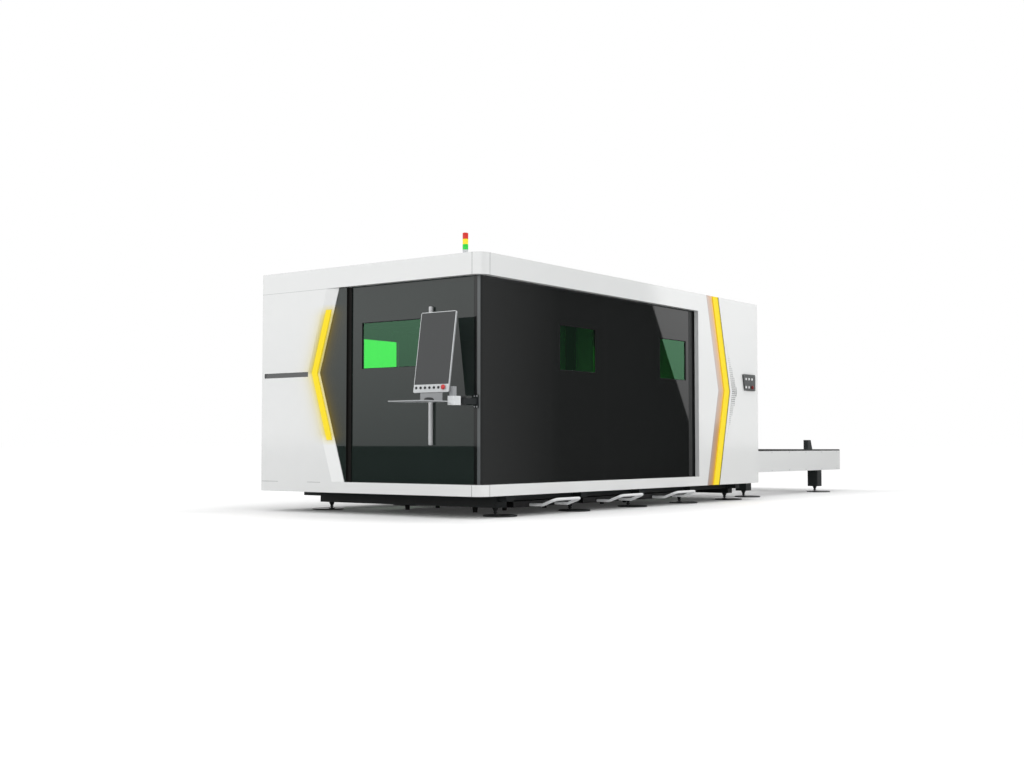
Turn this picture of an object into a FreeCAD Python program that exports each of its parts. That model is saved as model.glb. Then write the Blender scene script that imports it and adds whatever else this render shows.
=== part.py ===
import FreeCAD, Part
import math
import os
import re
import Sketcher

# A fiber laser cutting machine with its exchange table. All sizes are in millimetres and degrees.
# X runs from the operator's end to the exchange table, Y from the near long side to the far one
# and Z up. Every formula below is measured from the near front corner on the floor, and place()
# moves it so that the middle of the whole footprint is the origin.
SIZES = {
    # cabin
    "body_long": 5100, "body_wide": 2600, "body_top": 2200, "body_low": 185,
    "sill_top": 281, "fascia_low": 2015, "corner_round": 105, "far_round": 8,
    "band_deep": 60, "skin": 4, "panel_thick": 30, "seam": 3, "roof_thick": 20, "rim": 4,
    "post": 60, "front_rail_x": 150, "corner_post_y": 118, "post_round": 50,
    # side panels and their windows, along X from either end
    "panel_a_end": 1068, "panel_b_end": 1982, "panel_d_long": 802, "panel_foot": 10,
    "window_a_start": 1227, "window_a_end": 1819, "window_b_long": 533, "window_b_back": 163,
    "window_low": 1279, "window_high": 1688, "pane_thick": 6, "pane_inset": 10,
    # end covers with chevron strip, measured back from the cabin's far end
    "cover_long": 1396, "strip_tip_back": 689, "strip_end_back": 948, "strip_tip_z": 1192,
    "strip_wide": 110, "chamfer_wide": 160, "groove_deep": 22, "chamfer_deep": 14,
    "strip_thick": 16,
    "hole_rows": 49, "hole_pitch_z": 21, "hole_pitch_x": 25, "hole_large": 8, "hole_small": 3,
    "hole_start": 65, "hole_columns": 5,
    # front cover with its chevron edge
    "edge_top": 1631, "edge_tip": 1866, "edge_low": 1556, "edge_tip_z": 1257,
    "bevel_wide": 130, "bevel_deep": 24, "light_from": 26, "light_wide": 54,
    "light_low": 654, "light_high": 1823, "light_thick": 6,
    "slot_start": 1991, "slot_end": 2564, "slot_low": 1227, "slot_high": 1271, "slot_deep": 12,
    "infill_x": 30, "infill_thick": 20, "jamb_thick": 8, "jamb_lap": 40,
    "jamb_start": 1500, "jamb_end": 1540, "infill_end": 2100,
    # front door
    "door_x": 61, "door_thick": 28, "door_start": 121, "door_end": 1520,
    "door_low": 250, "door_high": 2100, "door_window_start": 700, "door_window_end": 1383,
    "handle_y": 571, "handle_stand": 3, "handle_low": 606, "handle_high": 1780,
    "handle_radius": 18, "handle_web": 20,
    "track_x": 96, "track_low": 2040, "track_high": 2070, "hanger_inset": 180,
    "hanger_wide": 60, "roller_radius": 22, "roller_wide": 30, "hanger_thick": 6, "play": 0.3,
    # end wall and its gate
    "opening_low": 320, "opening_high": 590, "opening_inset": 470,
    "gate_thick": 24, "gate_low": 630, "gate_high": 930, "gate_lap": 55, "channel_low": 250,
    "channel_high": 1200, "channel_wide": 30, "channel_lip": 8,
    # base frame
    "beam_inset": 180, "far_inset": 340, "beam_wide": 160, "beam_low": 130, "frame_low": 75,
    "frame_start": 440, "frame_back": 240, "front_beam": 150, "foot_block": 100,
    "foot_first": 520, "foot_back": 350, "bay_extra": 110, "bay_count": 4, "foot_y": 250,
    # levelling feet
    "pad_radius": 148, "pad_thick": 13, "pad_shift": 50, "stem_radius": 10,
    "hub_radius": 27, "hub_tall": 36,
    # scrap trays
    "tray_gap": 170, "tray_start": 160, "tray_end": 1680, "tray_low": 70, "tray_high": 122,
    "tray_wall": 4, "tray_lip": 24, "ledge_thick": 4, "ledge_start": 345, "ledge_end": 2095,
    "peg_spread": 220, "peg_near": 745, "peg_far": 1550, "peg_top": 27, "peg_tip": 20,
    "peg_lift": 3, "grip_spread": 195, "grip_z": 88, "grip_rise": 52, "grip_bend_y": 20,
    "grip_out": 120, "grip_radius": 13, "grip_bend": 40,
    # machine bed, rails and runways
    "bed_start": 480, "bed_back": 250, "bed_inset": 380, "bed_wall": 100, "bed_top": 950,
    "rail_start": 600, "rail_back": 300, "rail_wide": 45, "rail_tall": 35, "tie_wide": 120,
    "tie_high": 260, "front_wall_high": 600, "runway_low": 330, "runway_high": 440,
    "runway_wide": 80, "runway_thick": 6, "runway_back": 80, "runway_start": 700,
    # gantry
    "gantry_back": 1020, "gantry_deep": 250, "gantry_low": 1060, "gantry_tall": 250,
    "truck_long": 450, "carriage_thick": 110, "carriage_wide": 200, "carriage_tall": 360,
    "carriage_y": 1300, "carriage_low": 1070, "head_thick": 100, "head_wide": 140,
    "head_low": 800, "head_high": 1400, "nozzle_z": 600, "nozzle_radius": 12, "nozzle_top": 45,
    "beam_rail_deep": 20, "beam_rail_tall": 30,
    # pallets
    "pallet_long": 3050, "pallet_back": 3700, "pallet_travel": 3750, "pallet_gap": 36,
    "pallet_tube": 44, "wheel_radius": 20, "wheel_inset": 200, "slat_pitch": 145,
    "slat_thick": 5, "slat_rise": 75, "wheel_gap": 3,
    # exchange table
    "table_long": 3200, "table_inset": 350, "table_low": 284, "table_high": 554,
    "cover_drop": 5, "beam_under": 290, "tie_top": 322, "end_beam": 60,
    "leg_inset": 460, "leg_back": 680, "leg_wide": 135, "drive_back": 1025, "drive_long": 138,
    "drive_wide": 60, "drive_tall": 120, "drive_slant": 50,
    # tower light
    "tower_x": 180, "tower_y": 310, "tower_radius": 24, "tower_foot": 60, "green_tall": 46,
    "yellow_tall": 45, "red_tall": 54, "flange_radius": 38, "flange_thick": 6,
    # console
    "shelf_tip": 590, "lean_x": -290, "lean_z": 1035, "lean": 8.8, "housing_y": 109,
    "housing_wide": 371, "housing_tall": 673, "housing_deep": 16, "housing_round": 12,
    "screen_rim": 5, "screen_low": 66, "screen_deep": 3, "hump_rim": 60, "hump_low": 90,
    "hump_high": 480, "hump_deep": 34,
    "pivot_x": -240, "pivot_y": 100, "block_low": 1003.3, "block_high": 1080, "block_wide": 40,
    "neck_wide": 30, "pin_radius": 7, "hinge_x": -125, "hinge_y": 96, "knuckle_radius": 22,
    "arm_low": 930, "arm_high": 1003, "arm_start": -276, "arm_end": -183, "arm_wide": 60,
    "cheek": 12, "bracket_tall": 110, "bracket_thick": 12, "bar_wide": 34,
    "shelf_back": -290, "shelf_wide": 400, "shelf_y": 100, "shelf_z": 954, "shelf_thick": 8,
    "shelf_neck": 230, "shelf_round": 25, "mouse_long": 96, "mouse_wide": 58,
    "mouse_tall": 26, "mouse_x": -420, "mouse_y": 200, "mouse_waist": 0.9, "mouse_crown": 0.55,
    "key_radius": 11, "key_pitch": 47, "key_first": 107, "key_z": 39, "key_proud": 5,
    "key_deep": 8, "key_hole": 12,
    "stop_y": 51, "stop_radius": 20, "stop_stem": 8, "stop_tall": 14, "stop_gap": 6,
    # control box on the end cover
    "box_back": 95, "box_long": 298, "box_low": 1214, "box_high": 1395, "box_cut": 45,
    "box_proud": 18, "box_round": 16, "knob_inset": 60, "knob_pitch": 72, "knob_top_z": 1342,
    "knob_low_z": 1252, "knob_radius": 14, "knob_proud": 7, "knob_deep": 8, "knob_hole": 12,
}
# Places that follow from the sizes: what stands at the far end keeps its distance from it.
PLACES = {
    "cover_start": "body_long - cover_long",
    "panel_c_end": "cover_start - panel_d_long",
    "window_b_end": "cover_start - window_b_back",
    "window_b_start": "window_b_end - window_b_long",
    "strip_tip": "body_long - strip_tip_back",
    "strip_end": "body_long - strip_end_back",
    "frame_end": "body_long - frame_back",
    "bay": "(body_long - foot_back - foot_first - bay_extra) / bay_count",
    "bay_first": "bay + bay_extra",
    "tray_wide": "bay - tray_gap",
    "bed_end": "body_long - bed_back",
    "rail_end": "body_long - rail_back",
    "runway_end": "body_long - runway_back",
    "gantry_x": "body_long - gantry_back",
    "pallet_start": "body_long - pallet_back",
    "table_end": "body_long + table_long",
    "leg_first": "body_long + leg_inset",
    "leg_last": "table_end - leg_back",
    "drive_x": "table_end - drive_back",
    "box_end": "body_long - box_back",
    "box_start": "box_end - box_long",
    "knob_first": "box_start + knob_inset",
    "handle_x": "door_x - handle_stand - handle_radius",
}
QUARTER = 90
# the numbers by which a sketch knows a line's ends, a circle's middle and its own origin
LINE_START, LINE_END, CENTRE = range(1, 4)
ORIGIN = -LINE_START
TINY = 0.001
HANDLE_REACH = "grip_out + grip_radius"
MIDDLE_X = "(table_end + skin - shelf_tip) / 2"
MIDDLE_Y = f"(body_wide - ({HANDLE_REACH})) / 2"

os.makedirs("parts", exist_ok=True)
doc = FreeCAD.newDocument("CuttingMachine")
sheet = doc.addObject("Spreadsheet::Sheet", "Sizes")
for row, (size_name, size) in enumerate(SIZES.items(), start=1):
    sheet.set(f"A{row}", size_name)
    sheet.set(f"B{row}", str(size))
    sheet.setAlias(f"B{row}", size_name)
doc.recompute()
nodes = {}


# --- formulas and places ---
def cells(formula):
    """Writes the names of sizes in a formula as cells of the sheet, and places as their formulas."""
    return re.sub(r"[a-z][a-z_]*", written, str(formula))


def written(word):
    name = word[0]
    if name in PLACES:
        return f"({cells(PLACES[name])})"
    return f"Sizes.{name}" if name in SIZES else name


def amount(formula):
    """The number that a formula gives now."""
    return float(sheet.evalExpression(cells(formula)))


def bind(piece, **sizes):
    """Binds an object's properties to formulas."""
    for name, formula in sizes.items():
        piece.setExpression(name, cells(formula))
    return piece


def place(piece, x, y, z, axis=None, angle=QUARTER):
    """Binds an object's place, measured from the near front corner on the floor."""
    if axis:
        turn = FreeCAD.Rotation(FreeCAD.Vector(*axis), amount(angle))
        piece.Placement = FreeCAD.Placement(FreeCAD.Vector(), turn)
        piece.setExpression("Placement.Rotation.Angle", cells(angle))
    piece.setExpression("Placement.Base.x", cells(f"{x} - {MIDDLE_X}"))
    piece.setExpression("Placement.Base.y", cells(f"{y} - {MIDDLE_Y}"))
    piece.setExpression("Placement.Base.z", cells(z))
    return piece


def world(x, y, z):
    """A point of the formulas' frame as a vector of the document."""
    return FreeCAD.Vector(amount(f"{x} - {MIDDLE_X}"), amount(f"{y} - {MIDDLE_Y}"), amount(z))


def node(name, piece):
    """Names a finished sub-part, which gives its file."""
    piece.Label = name
    nodes[name] = piece
    return piece


# --- primitives and booleans ---
def block(x, y, z, name="Block"):
    """A box between two formulas along each axis."""
    piece = doc.addObject("Part::Box", name)
    bind(piece, Length=f"{x[1]} - ({x[0]})", Width=f"{y[1]} - ({y[0]})", Height=f"{z[1]} - ({z[0]})")
    return place(piece, f"({x[0]})", f"({y[0]})", z[0])


TOWARD = {"x": ((0, 1, 0), QUARTER), "y": ((1, 0, 0), -QUARTER), "-y": ((1, 0, 0), QUARTER)}


def rod(start, toward, length, radius, name="Rod", tip=None):
    """A cylinder, or a cone where a tip radius is given, from a point along an axis."""
    piece = doc.addObject("Part::Cone" if tip else "Part::Cylinder", name)
    if tip:
        bind(piece, Radius1=radius, Radius2=tip, Height=length)
    else:
        bind(piece, Radius=radius, Height=length)
    axis, angle = TOWARD.get(toward, (None, 0))
    return place(piece, f"({start[0]})", f"({start[1]})", f"({start[2]})", axis, angle)


def fuse(pieces, name="Fuse"):
    whole = doc.addObject("Part::MultiFuse", name)
    whole.Shapes = pieces
    whole.Refine = True
    return whole


def cut(base, tools, name="Cut"):
    rest = doc.addObject("Part::Cut", name)
    rest.Base = base
    rest.Tool = fuse(tools) if len(tools) > 1 else tools[0]
    return rest


def group(pieces, name="Group"):
    """Separate solids of one kind, kept in one node."""
    whole = doc.addObject("Part::Compound", name)
    whole.Links = pieces
    return whole


def far(span):
    """The same span along Y on the far side."""
    return (f"body_wide - ({span[1]})", f"body_wide - ({span[0]})")


def far_copy(piece, name="FarCopy"):
    """A mirrored copy on the far long side."""
    copy = doc.addObject("Part::Mirroring", name)
    copy.Source = piece
    copy.Normal = (0, 1, 0)
    copy.setExpression("Base.y", cells(f"body_wide / 2 - {MIDDLE_Y}"))
    return copy


def rounded_slab(x, y, z, radius, far_radius):
    """A slab whose two front corners are round."""
    near_round = rod((f"{x[0]} + {radius}", f"{y[0]} + {radius}", z[0]), "z", f"{z[1]} - ({z[0]})", radius)
    far_end = rod((f"{x[0]} + {far_radius}", f"{y[1]} - ({far_radius})", z[0]), "z",
                  f"{z[1]} - ({z[0]})", far_radius)
    back = block((f"{x[0]} + {radius}", x[1]), y, z)
    front = block((x[0], f"{x[0]} + {radius}"), (f"{y[0]} + {radius}", f"{y[1]} - ({far_radius})"), z)
    middle = block((f"{x[0]} + {far_radius}", f"{x[0]} + {radius}"), (f"{y[0]} + {radius}", y[1]), z)
    return fuse([near_round, far_end, back, front, middle])


# --- part design bodies ---
def new_body(name):
    return doc.addObject("PartDesign::Body", name + "_body")


def sketch(body, plane, outlines, level=0):
    """A sketch on one of the body's planes: outlines of points, or a circle as (x, y, radius)."""
    drawing = body.newObject("Sketcher::SketchObject", "Sketch")
    flat = [face for face in body.Origin.OriginFeatures if face.Role == f"{plane}_Plane"][0]
    drawing.AttachmentSupport = [(flat, "")]
    drawing.MapMode = "FlatFace"
    drawing.setExpression("AttachmentOffset.Base.z", cells(level))
    for outline in outlines:
        first = drawing.GeometryCount
        if isinstance(outline[0], str):
            x, y, radius = outline
            middle = FreeCAD.Vector(amount(x), amount(y), 0)
            drawing.addGeometry(Part.Circle(middle, FreeCAD.Vector(0, 0, 1), amount(radius)))
            measure(drawing, Sketcher.Constraint("Radius", first, amount(radius)), radius)
            pin(drawing, first, CENTRE, x, y)
            continue
        corners = [FreeCAD.Vector(amount(x), amount(y), 0) for x, y in outline]
        for number, corner in enumerate(corners):
            following = corners[(number + 1) % len(corners)]
            drawing.addGeometry(Part.LineSegment(corner, following))
        for number, (x, y) in enumerate(outline):
            line = first + number
            following = first + (number + 1) % len(outline)
            joined = Sketcher.Constraint("Coincident", line, LINE_END, following, LINE_START)
            drawing.addConstraint(joined)
            pin(drawing, line, LINE_START, x, y)
    return drawing


def measure(drawing, constraint, formula):
    """Adds a driving constraint and binds it to a formula."""
    number = drawing.addConstraint(constraint)
    drawing.renameConstraint(number, f"size{number}")
    drawing.setExpression(f"Constraints.size{number}", cells(formula))


def pin(drawing, line, end, x, y):
    """Holds a point of a sketch at its distances from the sketch's origin."""
    for kind, distance in (("DistanceX", x), ("DistanceY", y)):
        held = Sketcher.Constraint(kind, ORIGIN, LINE_START, line, end, amount(distance))
        measure(drawing, held, distance)


def pad(body, drawing, length):
    feature = body.newObject("PartDesign::Pad", "Pad")
    feature.Profile = drawing
    return bind(feature, Length=length)


def pocket(body, drawing, depth, reverse=False):
    feature = body.newObject("PartDesign::Pocket", "Pocket")
    feature.Profile = drawing
    feature.Reversed = reverse
    return bind(feature, Length=depth)


def loft(body, drawings, kind="Additive"):
    feature = body.newObject(f"PartDesign::{kind}Loft", "Loft")
    feature.Profile = drawings[0]
    feature.Sections = drawings[1:]
    feature.Ruled = True
    return feature


def round_edges(body, feature, axis, radius):
    """Rounds the straight edges that run along an axis of the body."""
    doc.recompute()
    names = []
    for number, edge in enumerate(feature.Shape.Edges, start=1):
        run = edge.Vertexes[-1].Point - edge.Vertexes[0].Point
        if run.Length and abs(run.normalize().dot(FreeCAD.Vector(*axis))) > 1 - TINY:
            names.append(f"Edge{number}")
    rounding = body.newObject("PartDesign::Fillet", "Fillet")
    rounding.Base = (feature, names)
    return bind(rounding, Radius=radius)


def rectangle(x, y):
    return [(x[0], y[0]), (x[1], y[0]), (x[1], y[1]), (x[0], y[1])]


def side_plate(name, outlines, y_far, thick, x="0", z="0"):
    """A plate drawn in X and Z whose far face lies at y_far."""
    body = new_body(name)
    drawing = sketch(body, "XZ", outlines)
    pad(body, drawing, thick)
    return place(body, x, y_far, z)


def bent_tube(points, bend, radius):
    """A round tube along straight runs joined by arcs of one bend radius."""
    edges = []
    start = points[0]
    for before, corner, after in zip(points, points[1:], points[2:]):
        back = (before - corner).normalize()
        ahead = (after - corner).normalize()
        reach = bend / math.tan(back.getAngle(ahead) / 2)
        entry = corner + back * reach
        leave = corner + ahead * reach
        bisector = (back + ahead).normalize()
        middle = corner + bisector * ((reach ** 2 + bend ** 2) ** 0.5 - bend)
        edges.append(Part.LineSegment(start, entry).toShape())
        edges.append(Part.Arc(entry, middle, leave).toShape())
        start = leave
    edges.append(Part.LineSegment(start, points[-1]).toShape())
    path = Part.Wire(edges)
    profile = Part.Wire(Part.Circle(points[0], points[1] - points[0], radius).toShape())
    return path.makePipeShell([profile], True, True)


# --- base frame, feet and trays ---
def foot_line(number):
    """X of a foot line: the first bay is longer than the others."""
    if number == 0:
        return "foot_first"
    return f"(foot_first + bay_first + {number - 1} * bay)"


def bay_middle(number):
    return f"({foot_line(number)} + {foot_line(number + 1)}) / 2"


POST_FACE = "band_deep + panel_thick"
ROOF_UNDER = "body_top - rim - roof_thick"
WALL_X = "body_long - panel_thick"
FEET = range(5)
TRAYS = range(3)
LEGS = ("leg_first", "leg_last")


def base_frame():
    """Two long beams, a front beam, and a tube across at each foot line with the tray ledges."""
    near_beam = ("beam_inset", "beam_inset + beam_wide")
    far_beam = far(("far_inset", "far_inset + beam_wide"))
    beams = (near_beam, far_beam)
    inner = (near_beam[1], far_beam[0])
    outriggers = ((POST_FACE, "beam_inset"), far((POST_FACE, "far_inset")))
    upright = ("frame_low", "body_low")
    shallow = ("beam_low", "body_low")
    front_end = "frame_start + front_beam"
    parts = [block(("frame_start", front_end), (near_beam[0], far_beam[1]), upright)]
    parts += [block((front_end, "frame_end"), beam, shallow) for beam in beams]
    for number in FEET:
        line = foot_line(number)
        width = (f"{line} - foot_block / 2", f"{line} + foot_block / 2")
        parts += [block(width, arm, shallow) for arm in outriggers]
        if number:
            parts.append(block(width, inner, upright))
            parts += [block(width, beam, ("frame_low", "beam_low")) for beam in beams]
    for number in TRAYS:
        middle = bay_middle(number)
        under_lip = ("tray_high - tray_wall - play - ledge_thick", "tray_high - tray_wall - play")
        before = f"{foot_line(number)} + foot_block / 2" if number else front_end
        after = f"{foot_line(number + 1)} - foot_block / 2"
        low_ledge = (before, f"{middle} - tray_wide / 2 - seam")
        high_ledge = (f"{middle} + tray_wide / 2 + seam", after)
        for ledge in (low_ledge, high_ledge):
            parts.append(block(ledge, ("ledge_start", "ledge_end"), under_lip))
    node("base_frame", group(parts))


def levelling_foot(x, y, outward):
    """A round pad, a stem and the conical hub under the frame, with the pad set outwards."""
    pad_disc = rod((x, f"{y} {outward} pad_shift", "0"), "z", "pad_thick", "pad_radius")
    stem = rod((x, y, "pad_thick"), "z", "frame_low - hub_tall - pad_thick", "stem_radius")
    hub = rod((x, y, "frame_low - hub_tall"), "z", "hub_tall", "stem_radius", tip="hub_radius")
    return [pad_disc, stem, hub]


def levelling_feet():
    """Feet as far inside each long beam as on the near side, and under the table's legs."""
    far_y = "far_inset + foot_y - beam_inset"
    leg_y = "table_inset + leg_wide / 2"
    places = [(foot_line(number), "foot_y", far_y) for number in FEET]
    places += [(leg, leg_y, leg_y) for leg in LEGS]
    feet = []
    for x, near, away in places:
        feet += levelling_foot(x, near, "-")
        feet += levelling_foot(x, f"body_wide - ({away})", "+")
    node("levelling_feet", group(feet))


def scrap_tray(number):
    """An open tray on four pegs that hangs by its lips and is pulled by a bent tube."""
    middle = bay_middle(number)
    width = (f"{middle} - tray_wide / 2", f"{middle} + tray_wide / 2")
    length = ("tray_start", "tray_end")
    outside = block(width, length, ("tray_low", "tray_high"))
    inside = block((f"{width[0]} + tray_wall", f"{width[1]} - tray_wall"),
                   ("tray_start + tray_wall", "tray_end - tray_wall"),
                   ("tray_low + tray_wall", "tray_high + tray_wall"))
    parts = [cut(outside, [inside])]
    lip = ("tray_high - tray_wall", "tray_high")
    parts.append(block((f"{width[0]} - tray_lip", width[0]), length, lip))
    parts.append(block((width[1], f"{width[1]} + tray_lip"), length, lip))
    for side in "-+":
        for y in ("peg_near", "peg_far"):
            start = (f"{middle} {side} peg_spread", y, "peg_lift")
            parts.append(rod(start, "z", "tray_low - peg_lift", "peg_tip", tip="peg_top"))
    grip = doc.addObject("Part::Feature", "Grip")
    right = [("tray_start", "grip_z"), ("grip_bend_y", "grip_z"), ("-grip_out", "grip_z + grip_rise")]
    path = [world(f"{middle} - grip_spread", y, z) for y, z in right]
    path += [world(f"{middle} + grip_spread", y, z) for y, z in reversed(right)]
    grip.Shape = bent_tube(path, amount("grip_bend"), amount("grip_radius"))
    parts.append(grip)
    node(f"scrap_tray_{number + 1}", fuse(parts))


# --- cabin ---
def cabin_frame():
    """Square tubes that carry the panels, the covers and the roof."""
    near_row = (POST_FACE, f"{POST_FACE} + post")
    high = ("body_low", ROOF_UNDER)
    front = ("front_rail_x", "front_rail_x + post")
    middle = ("cover_start + skin", "cover_start + skin + post")
    rear = (f"{WALL_X} - post", WALL_X)
    low_rail = ("body_low", "body_low + post")
    top_rail = (f"{ROOF_UNDER} - post", ROOF_UNDER)
    stretches = ((front[1], middle[0]), (middle[1], rear[0]))
    parts = []
    for row in (near_row, far(near_row)):
        parts += [block(post, row, high) for post in (front, middle, rear)]
        for rail in (low_rail, top_rail):
            parts += [block(stretch, row, rail) for stretch in stretches]
    across = (near_row[1], far(near_row)[0])
    parts += [block(post, across, top_rail) for post in (front, middle, rear)]
    parts += [block(post, across, low_rail) for post in (front, rear)]
    cover_row = ("panel_thick", POST_FACE)
    for row in (cover_row, far(cover_row)):
        parts += [block(post, row, high) for post in (middle, rear)]
    node("cabin_frame", group(parts))


def band(name, z, flange_z, skin_z):
    """A folded band round the front corner: its skin and its flanges, inwards to the panels."""
    front = ("0", "cover_start")
    across = ("0", "body_wide")
    outside = rounded_slab(front, across, z, "corner_round", "far_round")
    hollow = rounded_slab(("skin", "cover_start + seam"), ("skin", "body_wide - skin"), skin_z,
                          "corner_round - skin", "far_round - skin")
    hole = block(("band_deep", "cover_start + seam"), ("band_deep", "body_wide - band_deep"), flange_z)
    node(name, cut(outside, [hollow, hole]))


def roof_panel():
    """The roof sheet inside the bands, wider between the end covers."""
    front, step, rear = "band_deep", "cover_start + skin", WALL_X
    near, inner = "band_deep", "panel_thick"
    outline = [(front, near), (step, near), (step, inner), (rear, inner),
               (rear, f"body_wide - {inner}"), (step, f"body_wide - {inner}"),
               (step, f"body_wide - {near}"), (front, f"body_wide - {near}")]
    body = new_body("roof")
    pad(body, sketch(body, "XY", [outline]), "roof_thick")
    node("roof_panel", place(body, "0", "0", ROOF_UNDER))


def corner_post():
    """The dark post that turns the near front corner between door and side panels."""
    body = new_body("corner")
    outline = rectangle(("band_deep", "front_rail_x"), ("band_deep", "corner_post_y"))
    post = pad(body, sketch(body, "XY", [outline]), f"{ROOF_UNDER} - body_low")
    doc.recompute()
    edges = [number for number, edge in enumerate(post.Shape.Edges, start=1)
             if edge.BoundBox.ZLength > amount("post_round")
             and abs(edge.BoundBox.XMin - amount("band_deep")) < amount("skin")
             and abs(edge.BoundBox.YMin - amount("band_deep")) < amount("skin")]
    rounding = body.newObject("PartDesign::Fillet", "Fillet")
    rounding.Base = (post, [f"Edge{number}" for number in edges])
    bind(rounding, Radius="post_round")
    node("corner_post", place(body, "0", "0", "body_low"))


WINDOWS = (("window_a_start", "window_a_end"), ("window_b_start", "window_b_end"))
WINDOW_Z = ("window_low", "window_high")


def side_panels():
    """Four dark panels a side, two of them with a green window."""
    joints = ["front_rail_x", "panel_a_end", "panel_b_end", "panel_c_end", "cover_start"]
    height = ("body_low + panel_foot", f"{ROOF_UNDER} - panel_foot")
    plates = []
    for number, (start, end) in enumerate(zip(joints, joints[1:])):
        outlines = [rectangle((start, f"{end} - seam"), height)]
        if number % 2:
            outlines.append(rectangle(WINDOWS[number // 2], WINDOW_Z))
        plates.append(side_plate("side_panel", outlines, POST_FACE, "panel_thick"))
    panels = group(plates, "NearPanels")
    panes = []
    for start, end in WINDOWS:
        inset = ("band_deep + pane_inset", "band_deep + pane_inset + pane_thick")
        panes += [block((start, end), inset, WINDOW_Z), block((start, end), far(inset), WINDOW_Z)]
    node("side_panels", panels)
    node("far_side_panels", far_copy(panels))
    node("side_windows", group(panes))


def end_covers():
    """A cover each side with a bevelled chevron groove, a light strip in it and a field of holes."""
    levels = ("body_low", "strip_tip_z", "body_top")
    right = ("strip_end", "strip_tip", "strip_end")
    body = new_body("end_cover")
    flange = [("cover_start", "0"), ("body_long", "0"), ("body_long", "panel_thick"),
              ("cover_start + skin", "panel_thick"), ("cover_start + skin", "band_deep"),
              ("cover_start", "band_deep")]
    pad(body, sketch(body, "XY", [flange], "body_low"), "body_top - body_low")
    sections = []
    strip_sections = []
    strip = new_body("light_strip")
    for x, level in zip(right, levels):
        strip_left = f"{x} - strip_wide"
        groove = [(f"{strip_left} - chamfer_wide", "0"), (x, "0"), (x, "groove_deep"),
                  (strip_left, "groove_deep"), (strip_left, "chamfer_deep")]
        sections.append(sketch(body, "XY", [groove], level))
        bar = rectangle((strip_left, x), ("groove_deep - strip_thick", "groove_deep"))
        strip_sections.append(sketch(strip, "XY", [bar], level))
    loft(body, sections, "Subtractive")
    loft(strip, strip_sections)
    place(body, "0", "0", "0")
    place(strip, "0", "0", "0")
    cover = cut(body, [hole_field()])
    node("end_cover", cover)
    node("far_end_cover", far_copy(cover))
    node("side_light_strips", group([strip, far_copy(strip)]))


def hole_field():
    """Drills for the field of holes that follows the chevron and fades towards its ends."""
    rows = int(SIZES["hole_rows"])
    middle_row = rows // 2
    drills = []
    for row in range(rows):
        away = abs(row - middle_row) / (middle_row + 1)
        tip_z = amount("strip_tip_z") + (row - middle_row) * amount("hole_pitch_z")
        half = amount("body_top - strip_tip_z")
        back = amount("strip_tip - strip_end") * abs(tip_z - amount("strip_tip_z")) / half
        radius = amount("hole_large") - away * amount("hole_large - hole_small")
        columns = max(1, round(int(SIZES["hole_columns"]) * (1 - away)))
        for column in range(columns):
            x = f"strip_tip - {back} + hole_start + {column} * hole_pitch_x"
            start = world(x, "-skin", f"{tip_z}")
            direction = FreeCAD.Vector(0, 1, 0)
            drills.append(Part.makeCylinder(radius, amount("panel_thick + skin * 2"), start, direction))
    field = doc.addObject("Part::Feature", "HoleField")
    field.Shape = Part.makeCompound(drills)
    return field


def edge_line(z):
    """Y of the front cover's slanted edge at a height below or above its tip."""
    above = f"(edge_tip - (edge_tip - edge_top) * ({z} - edge_tip_z) / (fascia_low - edge_tip_z))"
    below = f"(edge_tip - (edge_tip - edge_low) * (edge_tip_z - {z}) / (edge_tip_z - sill_top))"
    return above if amount(z) > amount("edge_tip_z") else below


def front_cover():
    """The white front cover with its bevelled chevron edge, its slot and its light strip."""
    body = new_body("front_cover")
    sections = []
    for z in ("sill_top", "edge_tip_z", "fascia_low"):
        edge = edge_line(z)
        outline = [("0", f"{edge} + bevel_wide"), ("bevel_deep", edge), ("panel_thick", edge),
                   ("panel_thick", "body_wide - skin"), ("far_round", "body_wide - skin"),
                   ("far_round", "body_wide - far_round"), ("0", "body_wide - far_round")]
        sections.append(sketch(body, "XY", [outline], z))
    loft(body, sections)
    slot = sketch(body, "YZ", [rectangle(("slot_start", "slot_end"), ("slot_low", "slot_high"))])
    pocket(body, slot, "slot_deep", reverse=True)
    place(body, "0", "0", "0")
    height = ("sill_top", "fascia_low")
    corner = doc.addObject("Part::Cylinder", "Corner")
    bind(corner, Radius="far_round", Height="fascia_low - sill_top", Angle=QUARTER)
    place(corner, "far_round", "(body_wide - far_round)", "sill_top", (0, 0, 1))
    side = block(("far_round", "front_rail_x"), ("body_wide - skin", "body_wide"), height)
    flange = block(("front_rail_x - skin", "front_rail_x"), far(("0", POST_FACE)), height)
    node("front_cover", fuse([body, corner, side, flange]))
    strip = new_body("front_strip")
    sections = []
    for z in ("light_low", "edge_tip_z", "light_high"):
        edge = edge_line(z)
        near = f"({edge} + light_from)"
        ahead = f"({edge} + light_from + light_wide)"
        near_x = "(bevel_deep * (1 - light_from / bevel_wide))"
        ahead_x = "(bevel_deep * (1 - (light_from + light_wide) / bevel_wide))"
        outline = [(near_x, near), (f"{near_x} - light_thick", near),
                   (f"{ahead_x} - light_thick", ahead), (ahead_x, ahead)]
        sections.append(sketch(strip, "XY", [outline], z))
    loft(strip, sections)
    node("front_light_strip", place(strip, "0", "0", "0"))
    infill = block(("infill_x", "infill_x + infill_thick"), ("jamb_end", "infill_end"), height)
    jamb_x = ("infill_x + infill_thick", "infill_x + infill_thick + jamb_thick")
    jamb = block(jamb_x, ("jamb_start", "jamb_end + jamb_lap"), height)
    node("front_infill", fuse([infill, jamb]))


# --- front door ---
def hanger_lines():
    return ("(door_start + hanger_inset)", "(door_end - hanger_inset)")


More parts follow.
